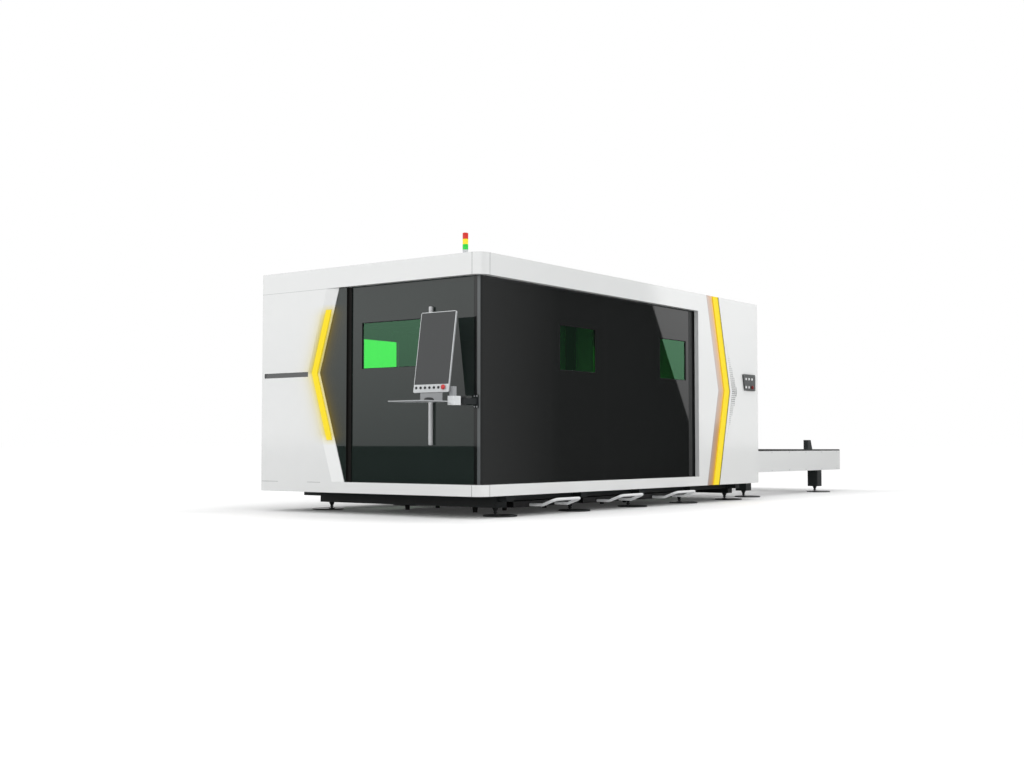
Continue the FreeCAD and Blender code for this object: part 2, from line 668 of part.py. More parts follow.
def front_door():
    """The sliding door: panel with hangers and rollers, green window, round bar handle on a web."""
    body = new_body("door")
    outline = rectangle(("door_start", "door_end"), ("door_low", "door_high"))
    window = rectangle(("door_window_start", "door_window_end"), WINDOW_Z)
    pad(body, sketch(body, "YZ", [outline, window]), "door_thick")
    place(body, "door_x", "0", "0")
    back = "door_x + door_thick"
    parts = [body]
    for line in hanger_lines():
        wide = (f"{line} - hanger_wide / 2", f"{line} + hanger_wide / 2")
        axle_z = "track_high + play + roller_radius"
        plate = block((back, f"{back} + hanger_thick"), wide,
                      ("door_high - hanger_wide", f"{axle_z} + roller_radius"))
        start = (f"{back} + hanger_thick", line, axle_z)
        parts += [plate, rod(start, "x", "roller_wide", "roller_radius")]
    node("front_door", fuse(parts))
    pane = ("door_x + pane_inset", "door_x + pane_inset + pane_thick")
    node("front_door_window", block(pane, ("door_window_start", "door_window_end"), WINDOW_Z))
    grip = rod(("handle_x", "handle_y", "handle_low"), "z", "handle_high - handle_low", "handle_radius")
    web = block(("handle_x", "door_x"), ("handle_y - handle_web / 2", "handle_y + handle_web / 2"),
                ("handle_low", "handle_high"))
    node("front_door_handle", fuse([grip, web]))


def door_track():
    """The rail behind the fascia on which the door's rollers run, on brackets to the front rail."""
    rail = ("track_x", "track_x + roller_wide")
    track = ("corner_post_y + seam", f"body_wide - ({POST_FACE})")
    height = ("track_low", "track_high")
    parts = [block(rail, track, height)]
    middle = ("body_wide / 2", "body_wide / 2 + post")
    near = (track[0], f"{POST_FACE} + post")
    for bracket in (near, middle, far((POST_FACE, f"{POST_FACE} + post"))):
        parts.append(block((rail[1], "front_rail_x"), bracket, height))
    top = block(("front_rail_x", "front_rail_x + post"), middle, ("track_low", f"{ROOF_UNDER} - post"))
    node("door_track", fuse(parts + [top]))


# --- end wall and gate ---
GATE_X = "(body_long - panel_thick - gate_thick - play)"


def end_wall():
    """The wall at the exchange end with its opening and the gate's two channels."""
    body = new_body("end_wall")
    outer = rectangle(("panel_thick", "body_wide - panel_thick"), ("body_low", "body_top"))
    opening = rectangle(("opening_inset", "body_wide - opening_inset"), ("opening_low", "opening_high"))
    pad(body, sketch(body, "YZ", [outer, opening]), "panel_thick")
    place(body, WALL_X, "0", "0")
    parts = [body]
    gate_end = "opening_inset - gate_lap"
    web = (f"{gate_end} - channel_wide", f"{gate_end} - play")
    for side in (web, far(web)):
        parts.append(block((f"{GATE_X} - channel_lip - play", WALL_X), side, ("channel_low", "channel_high")))
    lip = (f"{gate_end} - play", f"{gate_end} + channel_wide")
    for side in (lip, far(lip)):
        parts.append(block((f"{GATE_X} - channel_lip - play", f"{GATE_X} - play"), side,
                           ("channel_low", "channel_high")))
    node("end_wall", fuse(parts))
    node("exchange_gate", block((GATE_X, f"{GATE_X} + gate_thick"),
                                (gate_end, f"body_wide - ({gate_end})"), ("gate_low", "gate_high")))


# --- bed, gantry and head ---
BED_INNER = "bed_inset + bed_wall"


def machine_bed():
    """Two walls that carry the gantry's rails, tied across at each foot line."""
    wall = ("bed_inset", BED_INNER)
    inner = (BED_INNER, far(wall)[0])
    parts = [block(("bed_start", "bed_end"), side, ("body_low", "bed_top")) for side in (wall, far(wall))]
    parts.append(block(("bed_start", "bed_start + bed_wall"), inner, ("body_low", "front_wall_high")))
    for number in FEET[1:]:
        tie = (f"{foot_line(number)} - tie_wide / 2", f"{foot_line(number)} + tie_wide / 2")
        parts.append(block(tie, inner, ("body_low", "tie_high")))
    node("machine_bed", group(parts))
    centre = "bed_inset + bed_wall / 2"
    rail = (f"{centre} - rail_wide / 2", f"{centre} + rail_wide / 2")
    height = ("bed_top", "bed_top + rail_tall")
    node("bed_rails", group([block(("rail_start", "rail_end"), side, height) for side in (rail, far(rail))]))


def pallet_runways():
    """Ledges at two levels on the bed walls and on the table's beams."""
    ledge = (BED_INNER, f"{BED_INNER} + runway_wide")
    ledges = []
    for stretch in (("runway_start", "runway_end"), ("body_long", "table_end - end_beam")):
        for level in ("runway_low", "runway_high"):
            for side in (ledge, far(ledge)):
                ledges.append(block(stretch, side, (level, f"{level} + runway_thick")))
    node("pallet_runways", group(ledges))


def gantry():
    """The beam with its trucks on the rails, the carriage on its front and the cutting head."""
    wall = ("bed_inset", BED_INNER)
    middle_x = "(gantry_x + gantry_deep / 2)"
    truck_x = (f"{middle_x} - truck_long / 2", f"{middle_x} + truck_long / 2")
    beam_x = ("gantry_x", "gantry_x + gantry_deep")
    height = ("gantry_low", "gantry_low + gantry_tall")
    parts = [block(beam_x, (wall[0], far(wall)[1]), height)]
    for side in (wall, far(wall)):
        parts.append(block(truck_x, side, ("bed_top + rail_tall + play", "gantry_low")))
    rail_x = ("gantry_x - beam_rail_deep", "gantry_x")
    for low in ("gantry_low + beam_rail_tall", "gantry_low + gantry_tall - 2 * beam_rail_tall"):
        parts.append(block(rail_x, (BED_INNER, far(wall)[0]), (low, f"{low} + beam_rail_tall")))
    node("gantry_beam", fuse(parts))
    face = "gantry_x - beam_rail_deep - play"
    carriage_x = (f"{face} - carriage_thick", face)
    carriage_y = ("carriage_y - carriage_wide / 2", "carriage_y + carriage_wide / 2")
    node("y_carriage", block(carriage_x, carriage_y, ("carriage_low", "carriage_low + carriage_tall")))
    head_face = f"{face} - carriage_thick - play"
    head_x = (f"{head_face} - head_thick", head_face)
    head_y = ("carriage_y - head_wide / 2", "carriage_y + head_wide / 2")
    nozzle = rod((f"{head_face} - head_thick / 2", "carriage_y", "nozzle_z"), "z", "head_low - nozzle_z",
                 "nozzle_radius", tip="nozzle_top")
    node("cutting_head", fuse([block(head_x, head_y, ("head_low", "head_high")), nozzle]))


def pallet(name, start, level):
    """A tube frame with upright slats across it, on six wheels."""
    ledge_top = f"{level} + runway_thick"
    end = f"{start} + pallet_long"
    outer = (f"{BED_INNER} + pallet_gap", f"body_wide - ({BED_INNER} + pallet_gap)")
    low = f"{ledge_top} + wheel_gap"
    height = (low, f"{low} + pallet_tube")
    slat_y = (f"{outer[0]} + pallet_tube", f"{outer[1]} - pallet_tube")
    parts = [block((start, end), bar, height) for bar in ((outer[0], slat_y[0]), (slat_y[1], outer[1]))]
    for x in (start, f"{end} - pallet_tube"):
        parts.append(block((x, f"{x} + pallet_tube"), slat_y, height))
    slats = int(SIZES["pallet_long"] / SIZES["slat_pitch"])
    for number in range(1, slats):
        x = f"{start} + {number} * slat_pitch"
        parts.append(block((x, f"{x} + slat_thick"), slat_y, (low, f"{low} + slat_rise")))
    for x in (f"{start} + wheel_inset", f"{start} + pallet_long / 2", f"{end} - wheel_inset"):
        axle = f"{ledge_top} + play + wheel_radius"
        parts.append(rod((x, f"{outer[0]} - pallet_gap / 2", axle), "y", "pallet_gap / 2", "wheel_radius"))
        parts.append(rod((x, outer[1], axle), "y", "pallet_gap / 2", "wheel_radius"))
    node(name, group(parts))


# --- exchange table ---
def exchange_table():
    """Side beams with white covers, ties, an end beam, square legs and the drive on top."""
    cover = ("table_inset", "table_inset + skin")
    beam = (cover[1], BED_INNER)
    height = ("beam_under", "table_high")
    parts = [block(("body_long", "table_end"), side, height) for side in (beam, far(beam))]
    inner = (BED_INNER, far(beam)[0])
    parts.append(block(("table_end - end_beam", "table_end"), inner, height))
    leg_y = ("table_inset", "table_inset + leg_wide")
    for leg in LEGS:
        width = (f"{leg} - leg_wide / 2", f"{leg} + leg_wide / 2")
        parts.append(block(width, inner, ("beam_under", "tie_top")))
        parts += [block(width, side, ("frame_low", "table_low")) for side in (leg_y, far(leg_y))]
        parts += [block(width, side, ("table_low", "beam_under")) for side in (beam, far(beam))]
    node("table_frame", group(parts))
    cover_z = ("table_low", "table_high - cover_drop")
    end_cover = block(("table_end", "table_end + skin"), (cover[0], far(cover)[1]), cover_z)
    sides = [block(("body_long", "table_end"), side, cover_z) for side in (cover, far(cover))]
    node("table_side_covers", group(sides + [end_cover]))
    body = new_body("drive")
    drive_end = "drive_x + drive_long"
    outline = [("drive_x", "table_high"), (drive_end, "table_high"),
               (f"{drive_end} - drive_slant", "table_high + drive_tall"),
               ("drive_x", "table_high + drive_tall")]
    pad(body, sketch(body, "XZ", [outline]), "drive_wide")
    node("table_drive", place(body, "0", f"{beam[0]} + drive_wide", "0"))


# --- tower light ---
def tower_light():
    at = ("tower_x", "tower_y")
    foot_z = "body_top - rim"
    mast = rod((*at, foot_z), "z", "tower_foot", "tower_radius")
    node("tower_base", fuse([mast, rod((*at, foot_z), "z", "flange_thick", "flange_radius")]))
    level = f"{foot_z} + tower_foot"
    for colour in ("green", "yellow", "red"):
        node(f"tower_{colour}", rod((*at, level), "z", f"{colour}_tall", "tower_radius"))
        level = f"{level} + {colour}_tall"


# --- console ---
def leaning(x, y, z):
    """A point of the leaning housing, in its own depth, width and height, as formulas."""
    return (f"lean_x + ({x}) * cos(lean) + ({z}) * sin(lean)", f"housing_y + ({y})",
            f"lean_z - ({x}) * sin(lean) + ({z}) * cos(lean)")


def leaning_rod(x, y, z, length, radius):
    """A rod square to the housing's face that starts at depth x and runs outwards."""
    piece = doc.addObject("Part::Cylinder", "Rod")
    bind(piece, Radius=radius, Height=length)
    start = leaning(x, y, z)
    turn = f"lean - {QUARTER}"
    return place(piece, f"({start[0]})", f"({start[1]})", f"({start[2]})", (0, 1, 0), turn)


KEYS = range(6)


def key_place(number):
    return f"key_first + {number} * key_pitch"


def console_bracket():
    """The dark bracket on the corner post with the knuckle that the arm swings on."""
    foot_x = ("band_deep - bracket_thick", "band_deep")
    middle_z = "(arm_low + arm_high) / 2"
    plate_y = ("corner_post_y - post_round", "corner_post_y")
    plate = block(foot_x, plate_y, (f"{middle_z} - bracket_tall / 2", f"{middle_z} + bracket_tall / 2"))
    knuckle_z = ("arm_low + cheek + play", "arm_high - cheek - play")
    bar_y = ("hinge_y - bar_wide / 2", "hinge_y + bar_wide / 2")
    bar = block(("hinge_x", foot_x[0]), bar_y, knuckle_z)
    knuckle = rod(("hinge_x", "hinge_y", knuckle_z[0]), "z", f"{knuckle_z[1]} - ({knuckle_z[0]})",
                  "knuckle_radius")
    bore = rod(("hinge_x", "hinge_y", "arm_low"), "z", "arm_high - arm_low", "pin_radius + play")
    node("console_bracket", cut(fuse([plate, bar, knuckle]), [bore]))


def console_arm():
    """The white arm block with two cheeks round the knuckle, its pin and the swivel pin."""
    width = ("hinge_y - arm_wide / 2", "hinge_y + arm_wide / 2")
    parts = [block(("arm_start", "arm_end"), width, ("arm_low", "arm_high"))]
    for z in ("arm_low", "arm_high - cheek"):
        parts.append(block(("arm_end", "hinge_x"), width, (z, f"{z} + cheek")))
        parts.append(rod(("hinge_x", "hinge_y", z), "z", "cheek", "arm_wide / 2"))
    parts.append(rod(("hinge_x", "hinge_y", "arm_low"), "z", "arm_high - arm_low", "pin_radius"))
    parts.append(rod(("pivot_x", "pivot_y", "arm_high"), "z", "block_wide", "pin_radius"))
    node("console_arm", fuse(parts))


def console_housing():
    """The leaning housing with its rear hump, the neck and the swivel block beside it."""
    body = new_body("housing")
    outline = rectangle(("0", "housing_wide"), ("0", "housing_tall"))
    shell = pad(body, sketch(body, "YZ", [outline]), "housing_deep")
    round_edges(body, shell, (1, 0, 0), "housing_round")
    screen = rectangle(("screen_rim", "housing_wide - screen_rim"),
                       ("screen_low", "housing_tall - screen_rim"))
    pocket(body, sketch(body, "YZ", [screen]), "screen_deep", reverse=True)
    keys = [(key_place(number), "key_z", "key_radius + play") for number in KEYS]
    pocket(body, sketch(body, "YZ", keys), "key_hole", reverse=True)
    pocket(body, sketch(body, "YZ", [("stop_y", "key_z", "stop_stem + play")]), "key_hole", reverse=True)
    hump = rectangle(("hump_rim", "housing_wide - hump_rim"), ("hump_low", "hump_high"))
    pad(body, sketch(body, "YZ", [hump], "housing_deep"), "hump_deep")
    place(body, "lean_x", "housing_y", "lean_z", (0, 1, 0), "lean")
    half = "block_wide / 2"
    swivel = block((f"pivot_x - {half}", f"pivot_x + {half}"), (f"pivot_y - {half}", f"pivot_y + {half}"),
                   ("block_low", "block_high"))
    neck = block(("lean_x + housing_deep", f"pivot_x + {half}"),
                 (f"pivot_y + {half}", f"pivot_y + {half} + neck_wide"), ("lean_z", "block_high"))
    bore = rod(("pivot_x", "pivot_y", "arm_high"), "z", "block_wide + seam", "pin_radius + play")
    node("console_housing", cut(fuse([body, swivel, neck]), [bore]))
    glass = new_body("screen")
    pad(glass, sketch(glass, "YZ", [screen]), "screen_deep")
    node("console_screen", place(glass, "lean_x", "housing_y", "lean_z", (0, 1, 0), "lean"))


def console_controls():
    """Six buttons and the mushroom stop in the strip below the screen."""
    for number in KEYS:
        key = leaning_rod("key_deep", key_place(number), "key_z", "key_deep + key_proud", "key_radius")
        node(f"console_button_{number + 1}", key)
    stem = leaning_rod("key_deep", "stop_y", "key_z", "key_deep + stop_gap", "stop_stem")
    cap = leaning_rod("-stop_gap", "stop_y", "key_z", "stop_tall", "stop_radius")
    node("console_stop_button", fuse([stem, cap]))


def keyboard_shelf():
    """A thin shelf in front of the console on an upstand under the housing, with a mouse."""
    body = new_body("shelf")
    outline = rectangle(("-shelf_tip", "shelf_back"), ("shelf_y", "shelf_y + shelf_wide"))
    plate = pad(body, sketch(body, "XY", [outline]), "shelf_thick")
    round_edges(body, plate, (0, 0, 1), "shelf_round")
    place(body, "0", "0", "shelf_z")
    under = "lean_z - housing_deep * sin(lean)"
    middle_y = "housing_y + housing_wide / 2"
    neck_y = (f"({middle_y} - shelf_neck / 2)", f"({middle_y} + shelf_neck / 2)")
    back_x = "lean_x + housing_deep * cos(lean)"
    foot = block(("shelf_back - shelf_round", back_x), neck_y, ("shelf_z", "shelf_z + shelf_thick"))
    upstand = block((f"{back_x} - shelf_thick", back_x), neck_y, ("shelf_z + shelf_thick", under))
    node("keyboard_shelf", fuse([body, foot, upstand]))
    mouse = new_body("mouse")
    rims = []
    top = "shelf_z + shelf_thick"
    for level, share in (("0", "1"), ("mouse_tall / 2", "mouse_waist"), ("mouse_tall", "mouse_crown")):
        half_x = f"{share} * mouse_long / 2"
        half_y = f"{share} * mouse_wide / 2"
        corner_x, corner_y = f"{half_x} / 2", f"{half_y} / 2"
        outline = [(f"-{half_x}", f"-{corner_y}"), (f"-{corner_x}", f"-{half_y}"),
                   (corner_x, f"-{half_y}"), (half_x, f"-{corner_y}"), (half_x, corner_y),
                   (corner_x, half_y), (f"-{corner_x}", half_y), (f"-{half_x}", corner_y)]
        rims.append(sketch(mouse, "XY", [outline], level))
    loft(mouse, rims)
    node("mouse", place(mouse, "mouse_x", "mouse_y", top))


# --- control box ---
TOP_ROW, LOW_ROW = range(3), range(2)
KNOBS = [("knob_top_z", number) for number in TOP_ROW] + [("knob_low_z", number) for number in LOW_ROW]


def control_box():
    """The dark box on the near end cover with five buttons and a mushroom stop."""
    body = new_body("control_box")
    outline = [("box_start", "box_high"), ("box_end", "box_high"), ("box_end", "box_low"),
               ("box_start + box_cut", "box_low")]
    shell = pad(body, sketch(body, "XZ", [outline]), "box_proud")
    round_edges(body, shell, (0, 1, 0), "box_round")
    face = "box_proud"
    holes = [(f"knob_first + {number} * knob_pitch", z, "knob_radius + play") for z, number in KNOBS]
    stop_x = f"knob_first + {len(LOW_ROW)} * knob_pitch"
    holes.append((stop_x, "knob_low_z", "stop_stem + play"))
    pocket(body, sketch(body, "XZ", holes, face), "knob_hole")
    node("control_box", place(body, "0", "0", "0"))
    start_y = "knob_deep - box_proud"
    for count, (z, number) in enumerate(KNOBS, start=1):
        start = (f"knob_first + {number} * knob_pitch", start_y, z)
        node(f"box_button_{count}", rod(start, "-y", "knob_deep + knob_proud", "knob_radius"))
    stem = rod((stop_x, start_y, "knob_low_z"), "-y", "knob_deep + stop_gap", "stop_stem")
    cap = rod((stop_x, "-box_proud - stop_gap", "knob_low_z"), "-y", "stop_tall", "stop_radius")
    node("box_stop_button", fuse([stem, cap]))


base_frame()
levelling_feet()
for tray_number in TRAYS:
    scrap_tray(tray_number)
cabin_frame()
band("roof_fascia", ("fascia_low", "body_top"), ("fascia_low - seam", "body_top + seam"),
     ("fascia_low + skin", "body_top - skin"))
band("sill_band", ("body_low", "sill_top"), ("body_low - seam", "sill_top + seam"),
     ("body_low + skin", "sill_top - skin"))
roof_panel()
corner_post()
side_panels()
end_covers()
front_cover()
front_door()
door_track()
end_wall()
machine_bed()
pallet_runways()
gantry()
pallet("upper_pallet", "pallet_start", "runway_high")
pallet("lower_pallet", "(pallet_start + pallet_travel)", "runway_low")
exchange_table()
tower_light()
console_bracket()
console_arm()
console_housing()
console_controls()
keyboard_shelf()
control_box()

doc.recompute()
failed = [piece.Name for piece in doc.Objects if "Invalid" in piece.State or "Error" in piece.State]
if failed:
    raise RuntimeError(f"these objects failed: {failed}")
for name, piece in nodes.items():
    if piece.Shape.isNull() or not piece.Shape.isValid():
        raise RuntimeError(f"{name} has no valid shape")
for name, piece in nodes.items():
    piece.Shape.exportStep(f"parts/{name}.step")
print(f"{len(nodes)} parts written")
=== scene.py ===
import math

import bpy
import numpy as np
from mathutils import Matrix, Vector


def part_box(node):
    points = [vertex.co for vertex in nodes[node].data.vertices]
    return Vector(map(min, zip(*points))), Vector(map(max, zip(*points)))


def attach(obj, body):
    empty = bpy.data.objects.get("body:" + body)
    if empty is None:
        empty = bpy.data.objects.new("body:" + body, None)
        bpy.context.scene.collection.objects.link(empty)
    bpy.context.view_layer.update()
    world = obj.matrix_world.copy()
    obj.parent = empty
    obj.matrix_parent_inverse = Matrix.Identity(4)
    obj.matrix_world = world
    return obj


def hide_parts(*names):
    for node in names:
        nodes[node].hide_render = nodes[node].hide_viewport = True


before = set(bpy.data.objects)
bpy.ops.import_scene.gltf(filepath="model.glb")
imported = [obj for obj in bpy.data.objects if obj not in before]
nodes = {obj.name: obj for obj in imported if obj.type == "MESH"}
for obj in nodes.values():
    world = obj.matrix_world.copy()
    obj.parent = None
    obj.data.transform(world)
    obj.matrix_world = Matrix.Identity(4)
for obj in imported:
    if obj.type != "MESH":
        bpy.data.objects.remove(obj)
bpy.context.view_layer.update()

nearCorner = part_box("roof_fascia")[0]  # the cabin's near front corner, from which places are measured
print("frame loaded:", len(nodes), "nodes")


def at(x, y, z):
    # a point measured from the near front corner on the floor
    return Vector((x + nearCorner.x, y + nearCorner.y, z))


# a new material or world, with helpers that add nodes to it and wire them
class Recipe:
    def __init__(self, name, owners=bpy.data.materials, shader="Principled BSDF"):
        self.owner = owners.new(name)
        self.owner.use_nodes = True
        self.tree = self.owner.node_tree
        self.shader = self.tree.nodes[shader]
        self.place = self.add("ShaderNodeTexCoord").outputs["Object"]

    def add(self, kind, *sources, **values):
        # the sources, sockets or plain values, go to the node's first inputs
        node = self.tree.nodes.new(kind)
        for key, value in values.items():
            setattr(node, key, value)
        for source, target in zip(sources, node.inputs):
            self.wire(source, target)
        return node

    def wire(self, source, target):
        if hasattr(source, "is_output"):
            self.tree.links.new(source, target)
        else:
            target.default_value = source

    def math(self, operation, first, second=0.0, clamp=False):
        return self.add("ShaderNodeMath", first, second, operation=operation, use_clamp=clamp).outputs[0]

    def plus(self, first, second, clamp=False):
        return self.math("ADD", first, second, clamp)

    def minus(self, first, second):
        return self.math("SUBTRACT", first, second)

    def times(self, whole, *shares):
        for share in shares:
            whole = self.math("MULTIPLY", whole, share)
        return whole

    def nearTo(self, value, place, reach):
        # 1 up to a reach on both sides of a place, 0 outside
        return self.add("ShaderNodeMath", value, place, reach, operation="COMPARE").outputs[0]

    def within(self, value, low, high):
        return self.nearTo(value, (low + high) / 2, (high - low) / 2)

    def ramp(self, value, low, high, start=0.0, end=1.0):
        # start below low, end above high and a straight line between
        return self.add("ShaderNodeMapRange", value, low, high, start, end).outputs["Result"]

    def blend(self, share, first, second, kind="RGBA"):
        # a mix node's colours are inputs 6 and 7 and output 2, its plain values inputs 2 and 3 and output 0
        node = self.add("ShaderNodeMix", share, data_type=kind)
        start, result = {"RGBA": (6, 2), "FLOAT": (2, 0)}[kind]
        self.wire(first, node.inputs[start])
        self.wire(second, node.inputs[start + 1])
        return node.outputs[result]

    def noise(self, scale, detail=3.0, stretch=(1, 1, 1)):
        mapping = self.add("ShaderNodeMapping", self.place)
        mapping.inputs["Scale"].default_value = stretch
        texture = self.add("ShaderNodeTexNoise", mapping.outputs[0])
        texture.inputs["Scale"].default_value = scale
        texture.inputs["Detail"].default_value = detail
        return texture.outputs["Fac"]

    def bump(self, height, strength, distance):
        node = self.add("ShaderNodeBump")
        node.inputs["Strength"].default_value = strength
        node.inputs["Distance"].default_value = distance
        self.wire(height, node.inputs["Height"])
        self.wire(node.outputs[0], self.shader.inputs["Normal"])

    def corner(self):
        # the place in metres from the near front corner on the floor
        start = (nearCorner.x, nearCorner.y, 0.0)
        shift = self.add("ShaderNodeVectorMath", self.place, start, operation="SUBTRACT")
        return self.add("ShaderNodeSeparateXYZ", shift.outputs[0]).outputs

    def shade(self, **values):
        for key, value in values.items():
            self.wire(value, self.shader.inputs[key.replace("_", " ")])
        return self.owner

    def surface(self, node):
        # the node's shader shows in place of the principled one
        self.wire(node.outputs[0], self.tree.nodes["Material Output"].inputs["Surface"])
        return self.owner


def solid(colour):
    return (*colour, 1.0)


def toned(recipe, colour, patches):
    # the colour a little darker and lighter in patches, given by the spread of the tone and their scale
    spread, scale = patches
    dark = solid([part * (1 - spread) for part in colour])
    light = solid([min(1.0, part * (1 + spread)) for part in colour])
    return recipe.blend(recipe.noise(scale), dark, light)


def tonedLook(recipe, look):
    return toned(recipe, look["colour"], look["patches"])


softEdge = 0.001  # half the width of a sharp turn from one tone to another
plainShine = 0.5  # the shader's usual specular level

# white powder coat: a hard clear surface with a fine orange-peel texture
whitePaint = {"colour": (0.745, 0.755, 0.752), "patches": (0.012, 0.9), "low": (0.83, 0.84, 0.836),
              "lowTurn": (1.3, 0.2), "peelScale": 900.0, "peelStrength": 0.03, "peelDepth": 0.0004,
              "roughness": 0.08, "ior": 2.05}
# the front light strip, slanted above and below its tip, and the soft halo of its light, painted in colour
# beside it
paintedHalo = {"colour": (0.72, 0.58, 0.015), "reach": 0.055, "share": 1.0, "fade": 0.05,
        "middle": 0.053, "half": 0.027, "tipY": 1.866, "tipZ": 1.257, "riseUp": 0.31, "riseDown": 0.3176,
        "lightLow": 0.654, "lightHigh": 1.823}


def paintedGlowShare(recipe, reach, start):
    # the share of the painted glow: start at the strip's border, falling as exp(-distance / reach); the
    # strip's Y falls evenly from its tip
    y, z = recipe.corner()[1:3]
    above = recipe.math("MAXIMUM", recipe.minus(z, paintedHalo["tipZ"]), 0.0)
    below = recipe.math("MAXIMUM", recipe.minus(paintedHalo["tipZ"], z), 0.0)
    drop = recipe.plus(recipe.times(above, paintedHalo["riseUp"]), recipe.times(below, paintedHalo["riseDown"]))
    line = recipe.minus(paintedHalo["tipY"] + paintedHalo["middle"], drop)
    away = recipe.minus(recipe.math("ABSOLUTE", recipe.minus(y, line)), paintedHalo["half"])
    glow = recipe.math("POWER", math.e, recipe.times(recipe.math("MAXIMUM", away, 0.0), -1 / reach))
    fromLow = recipe.ramp(z, paintedHalo["lightLow"] - paintedHalo["fade"], paintedHalo["lightLow"] + paintedHalo["fade"])
    fromHigh = recipe.ramp(z, paintedHalo["lightHigh"] + paintedHalo["fade"], paintedHalo["lightHigh"] - paintedHalo["fade"])
    return recipe.times(glow, fromLow, fromHigh, start)


def whiteBase(recipe):
    # a little lighter towards the floor, which gives light back
    share = recipe.ramp(recipe.corner()[2], *whitePaint["lowTurn"])
    paint = tonedLook(recipe, whitePaint)
    return recipe.blend(share, paint, solid(whitePaint["low"]))


def finishWhite(recipe, colour):
    recipe.bump(recipe.noise(whitePaint["peelScale"]), whitePaint["peelStrength"], whitePaint["peelDepth"])
    return recipe.shade(Base_Color=colour, Roughness=whitePaint["roughness"], IOR=whitePaint["ior"])


# fascia and sill: hairline joints beside the round corner and two short ones at the sill's foot
bands = {"corner": 0.097, "cornerSide": 0.118, "line": 0.0026, "skin": (-0.01, 0.012),
         "shade": (0.3, 0.31, 0.31), "dashes": ((1.829, 1.994), (2.371, 2.585)), "dashZ": (0.273, 0.2765)}


def makeBandPaint():
    recipe = Recipe("bandPaint")
    x, y, z = recipe.corner()
    front = recipe.times(recipe.within(x, *bands["skin"]), recipe.nearTo(y, bands["corner"], bands["line"]))
    side = recipe.times(recipe.within(y, *bands["skin"]),
                        recipe.nearTo(x, bands["cornerSide"], bands["line"]))
    lines = recipe.plus(front, side, clamp=True)
    for low, high in bands["dashes"]:
        dash = recipe.times(recipe.within(z, *bands["dashZ"]), recipe.within(y, low, high))
        lines = recipe.plus(lines, dash, clamp=True)
    return finishWhite(recipe, recipe.blend(lines, whiteBase(recipe), solid(bands["shade"])))


# front cover: dark slot, hairline joint under the fascia and the strip's halo, a painted glow in the white
frontMarks = {"slotX": (0.009, 0.05), "slotY": (1.985, 2.57), "slotZ": (1.22, 1.28),
              "slotColour": (0.045, 0.048, 0.05), "jointZ": (2.0105, 2.02), "jointShade": (0.5, 0.51, 0.51)}


def makeCoverPaint():
    recipe = Recipe("coverPaint")
    x, y, z = recipe.corner()
    # the strip's light painted into the white as a yellow halo
    glow = paintedGlowShare(recipe, paintedHalo["reach"], paintedHalo["share"])
    colour = recipe.blend(glow, whiteBase(recipe), solid(paintedHalo["colour"]))
    slot = recipe.times(recipe.within(x, *frontMarks["slotX"]), recipe.within(y, *frontMarks["slotY"]),
                        recipe.within(z, *frontMarks["slotZ"]))
    colour = recipe.blend(slot, colour, solid(frontMarks["slotColour"]))
    colour = recipe.blend(recipe.within(z, *frontMarks["jointZ"]), colour, solid(frontMarks["jointShade"]))
    return finishWhite(recipe, colour)


# roof and end wall: hairline joints between their sheets, (axis, place, the other axis, its low and high)
plates = {"line": 0.0017, "shade": (0.34, 0.35, 0.35),
          "roofPaint": ((0, 1.28, 1, 0, 3), (0, 2.5, 1, 0, 3), (0, 3.72, 1, 0, 3), (1, 1.3, 0, 0, 6)),
          "wallPaint": ((1, 0.66, 2, 1.02, 3), (1, 1.94, 2, 1.02, 3), (2, 1.02, 1, 0, 3))}


def makePlatePaint(name):
    # a joint runs where one axis is at its place, between two limits on another axis
    recipe = Recipe(name)
    axes = recipe.corner()
    lines = 0.0
    for axis, place, other, low, high in plates[name]:
        line = recipe.nearTo(axes[axis], place, plates["line"])
        lines = recipe.plus(recipe.times(line, recipe.within(axes[other], low, high)), lines, clamp=True)
    return finishWhite(recipe, recipe.blend(lines, whiteBase(recipe), solid(plates["shade"])))


# end covers: the chamfer beside the strip painted pink-grey to orange as shade and the strip's bounced light,
# a thin line of painted shade after it, bore walls painted dark as shade, and a grey edge face painted near
# black deeper in as shade
endMarks = {"tipX": 4.411, "tipZ": 1.192, "rise": 0.257, "wide": 2.6, "chamfer": (-0.27, -0.11),
            "line": (-0.001, 0.009), "grooveShadeColour": (0.22, 0.21, 0.09), "bores": (0.012, 0.3),
            "boreDepth": (0.0015, 0.05), "boreShadeColour": (0.03, 0.03, 0.03), "chamferPaintedShade": (0.5, 0.42, 0.39),
            "chamferPaintedBounce": (0.6, 0.38, 0.24), "chamferPaintedGlow": (0.8, 0.42, 0.03), "edgeX": (3.69, 3.7045),
            "edgeShadeGrey": (0.66, 0.67, 0.67), "edgeShadeDark": (0.006, 0.006, 0.006), "edgeTurn": (0.046, 0.2)}


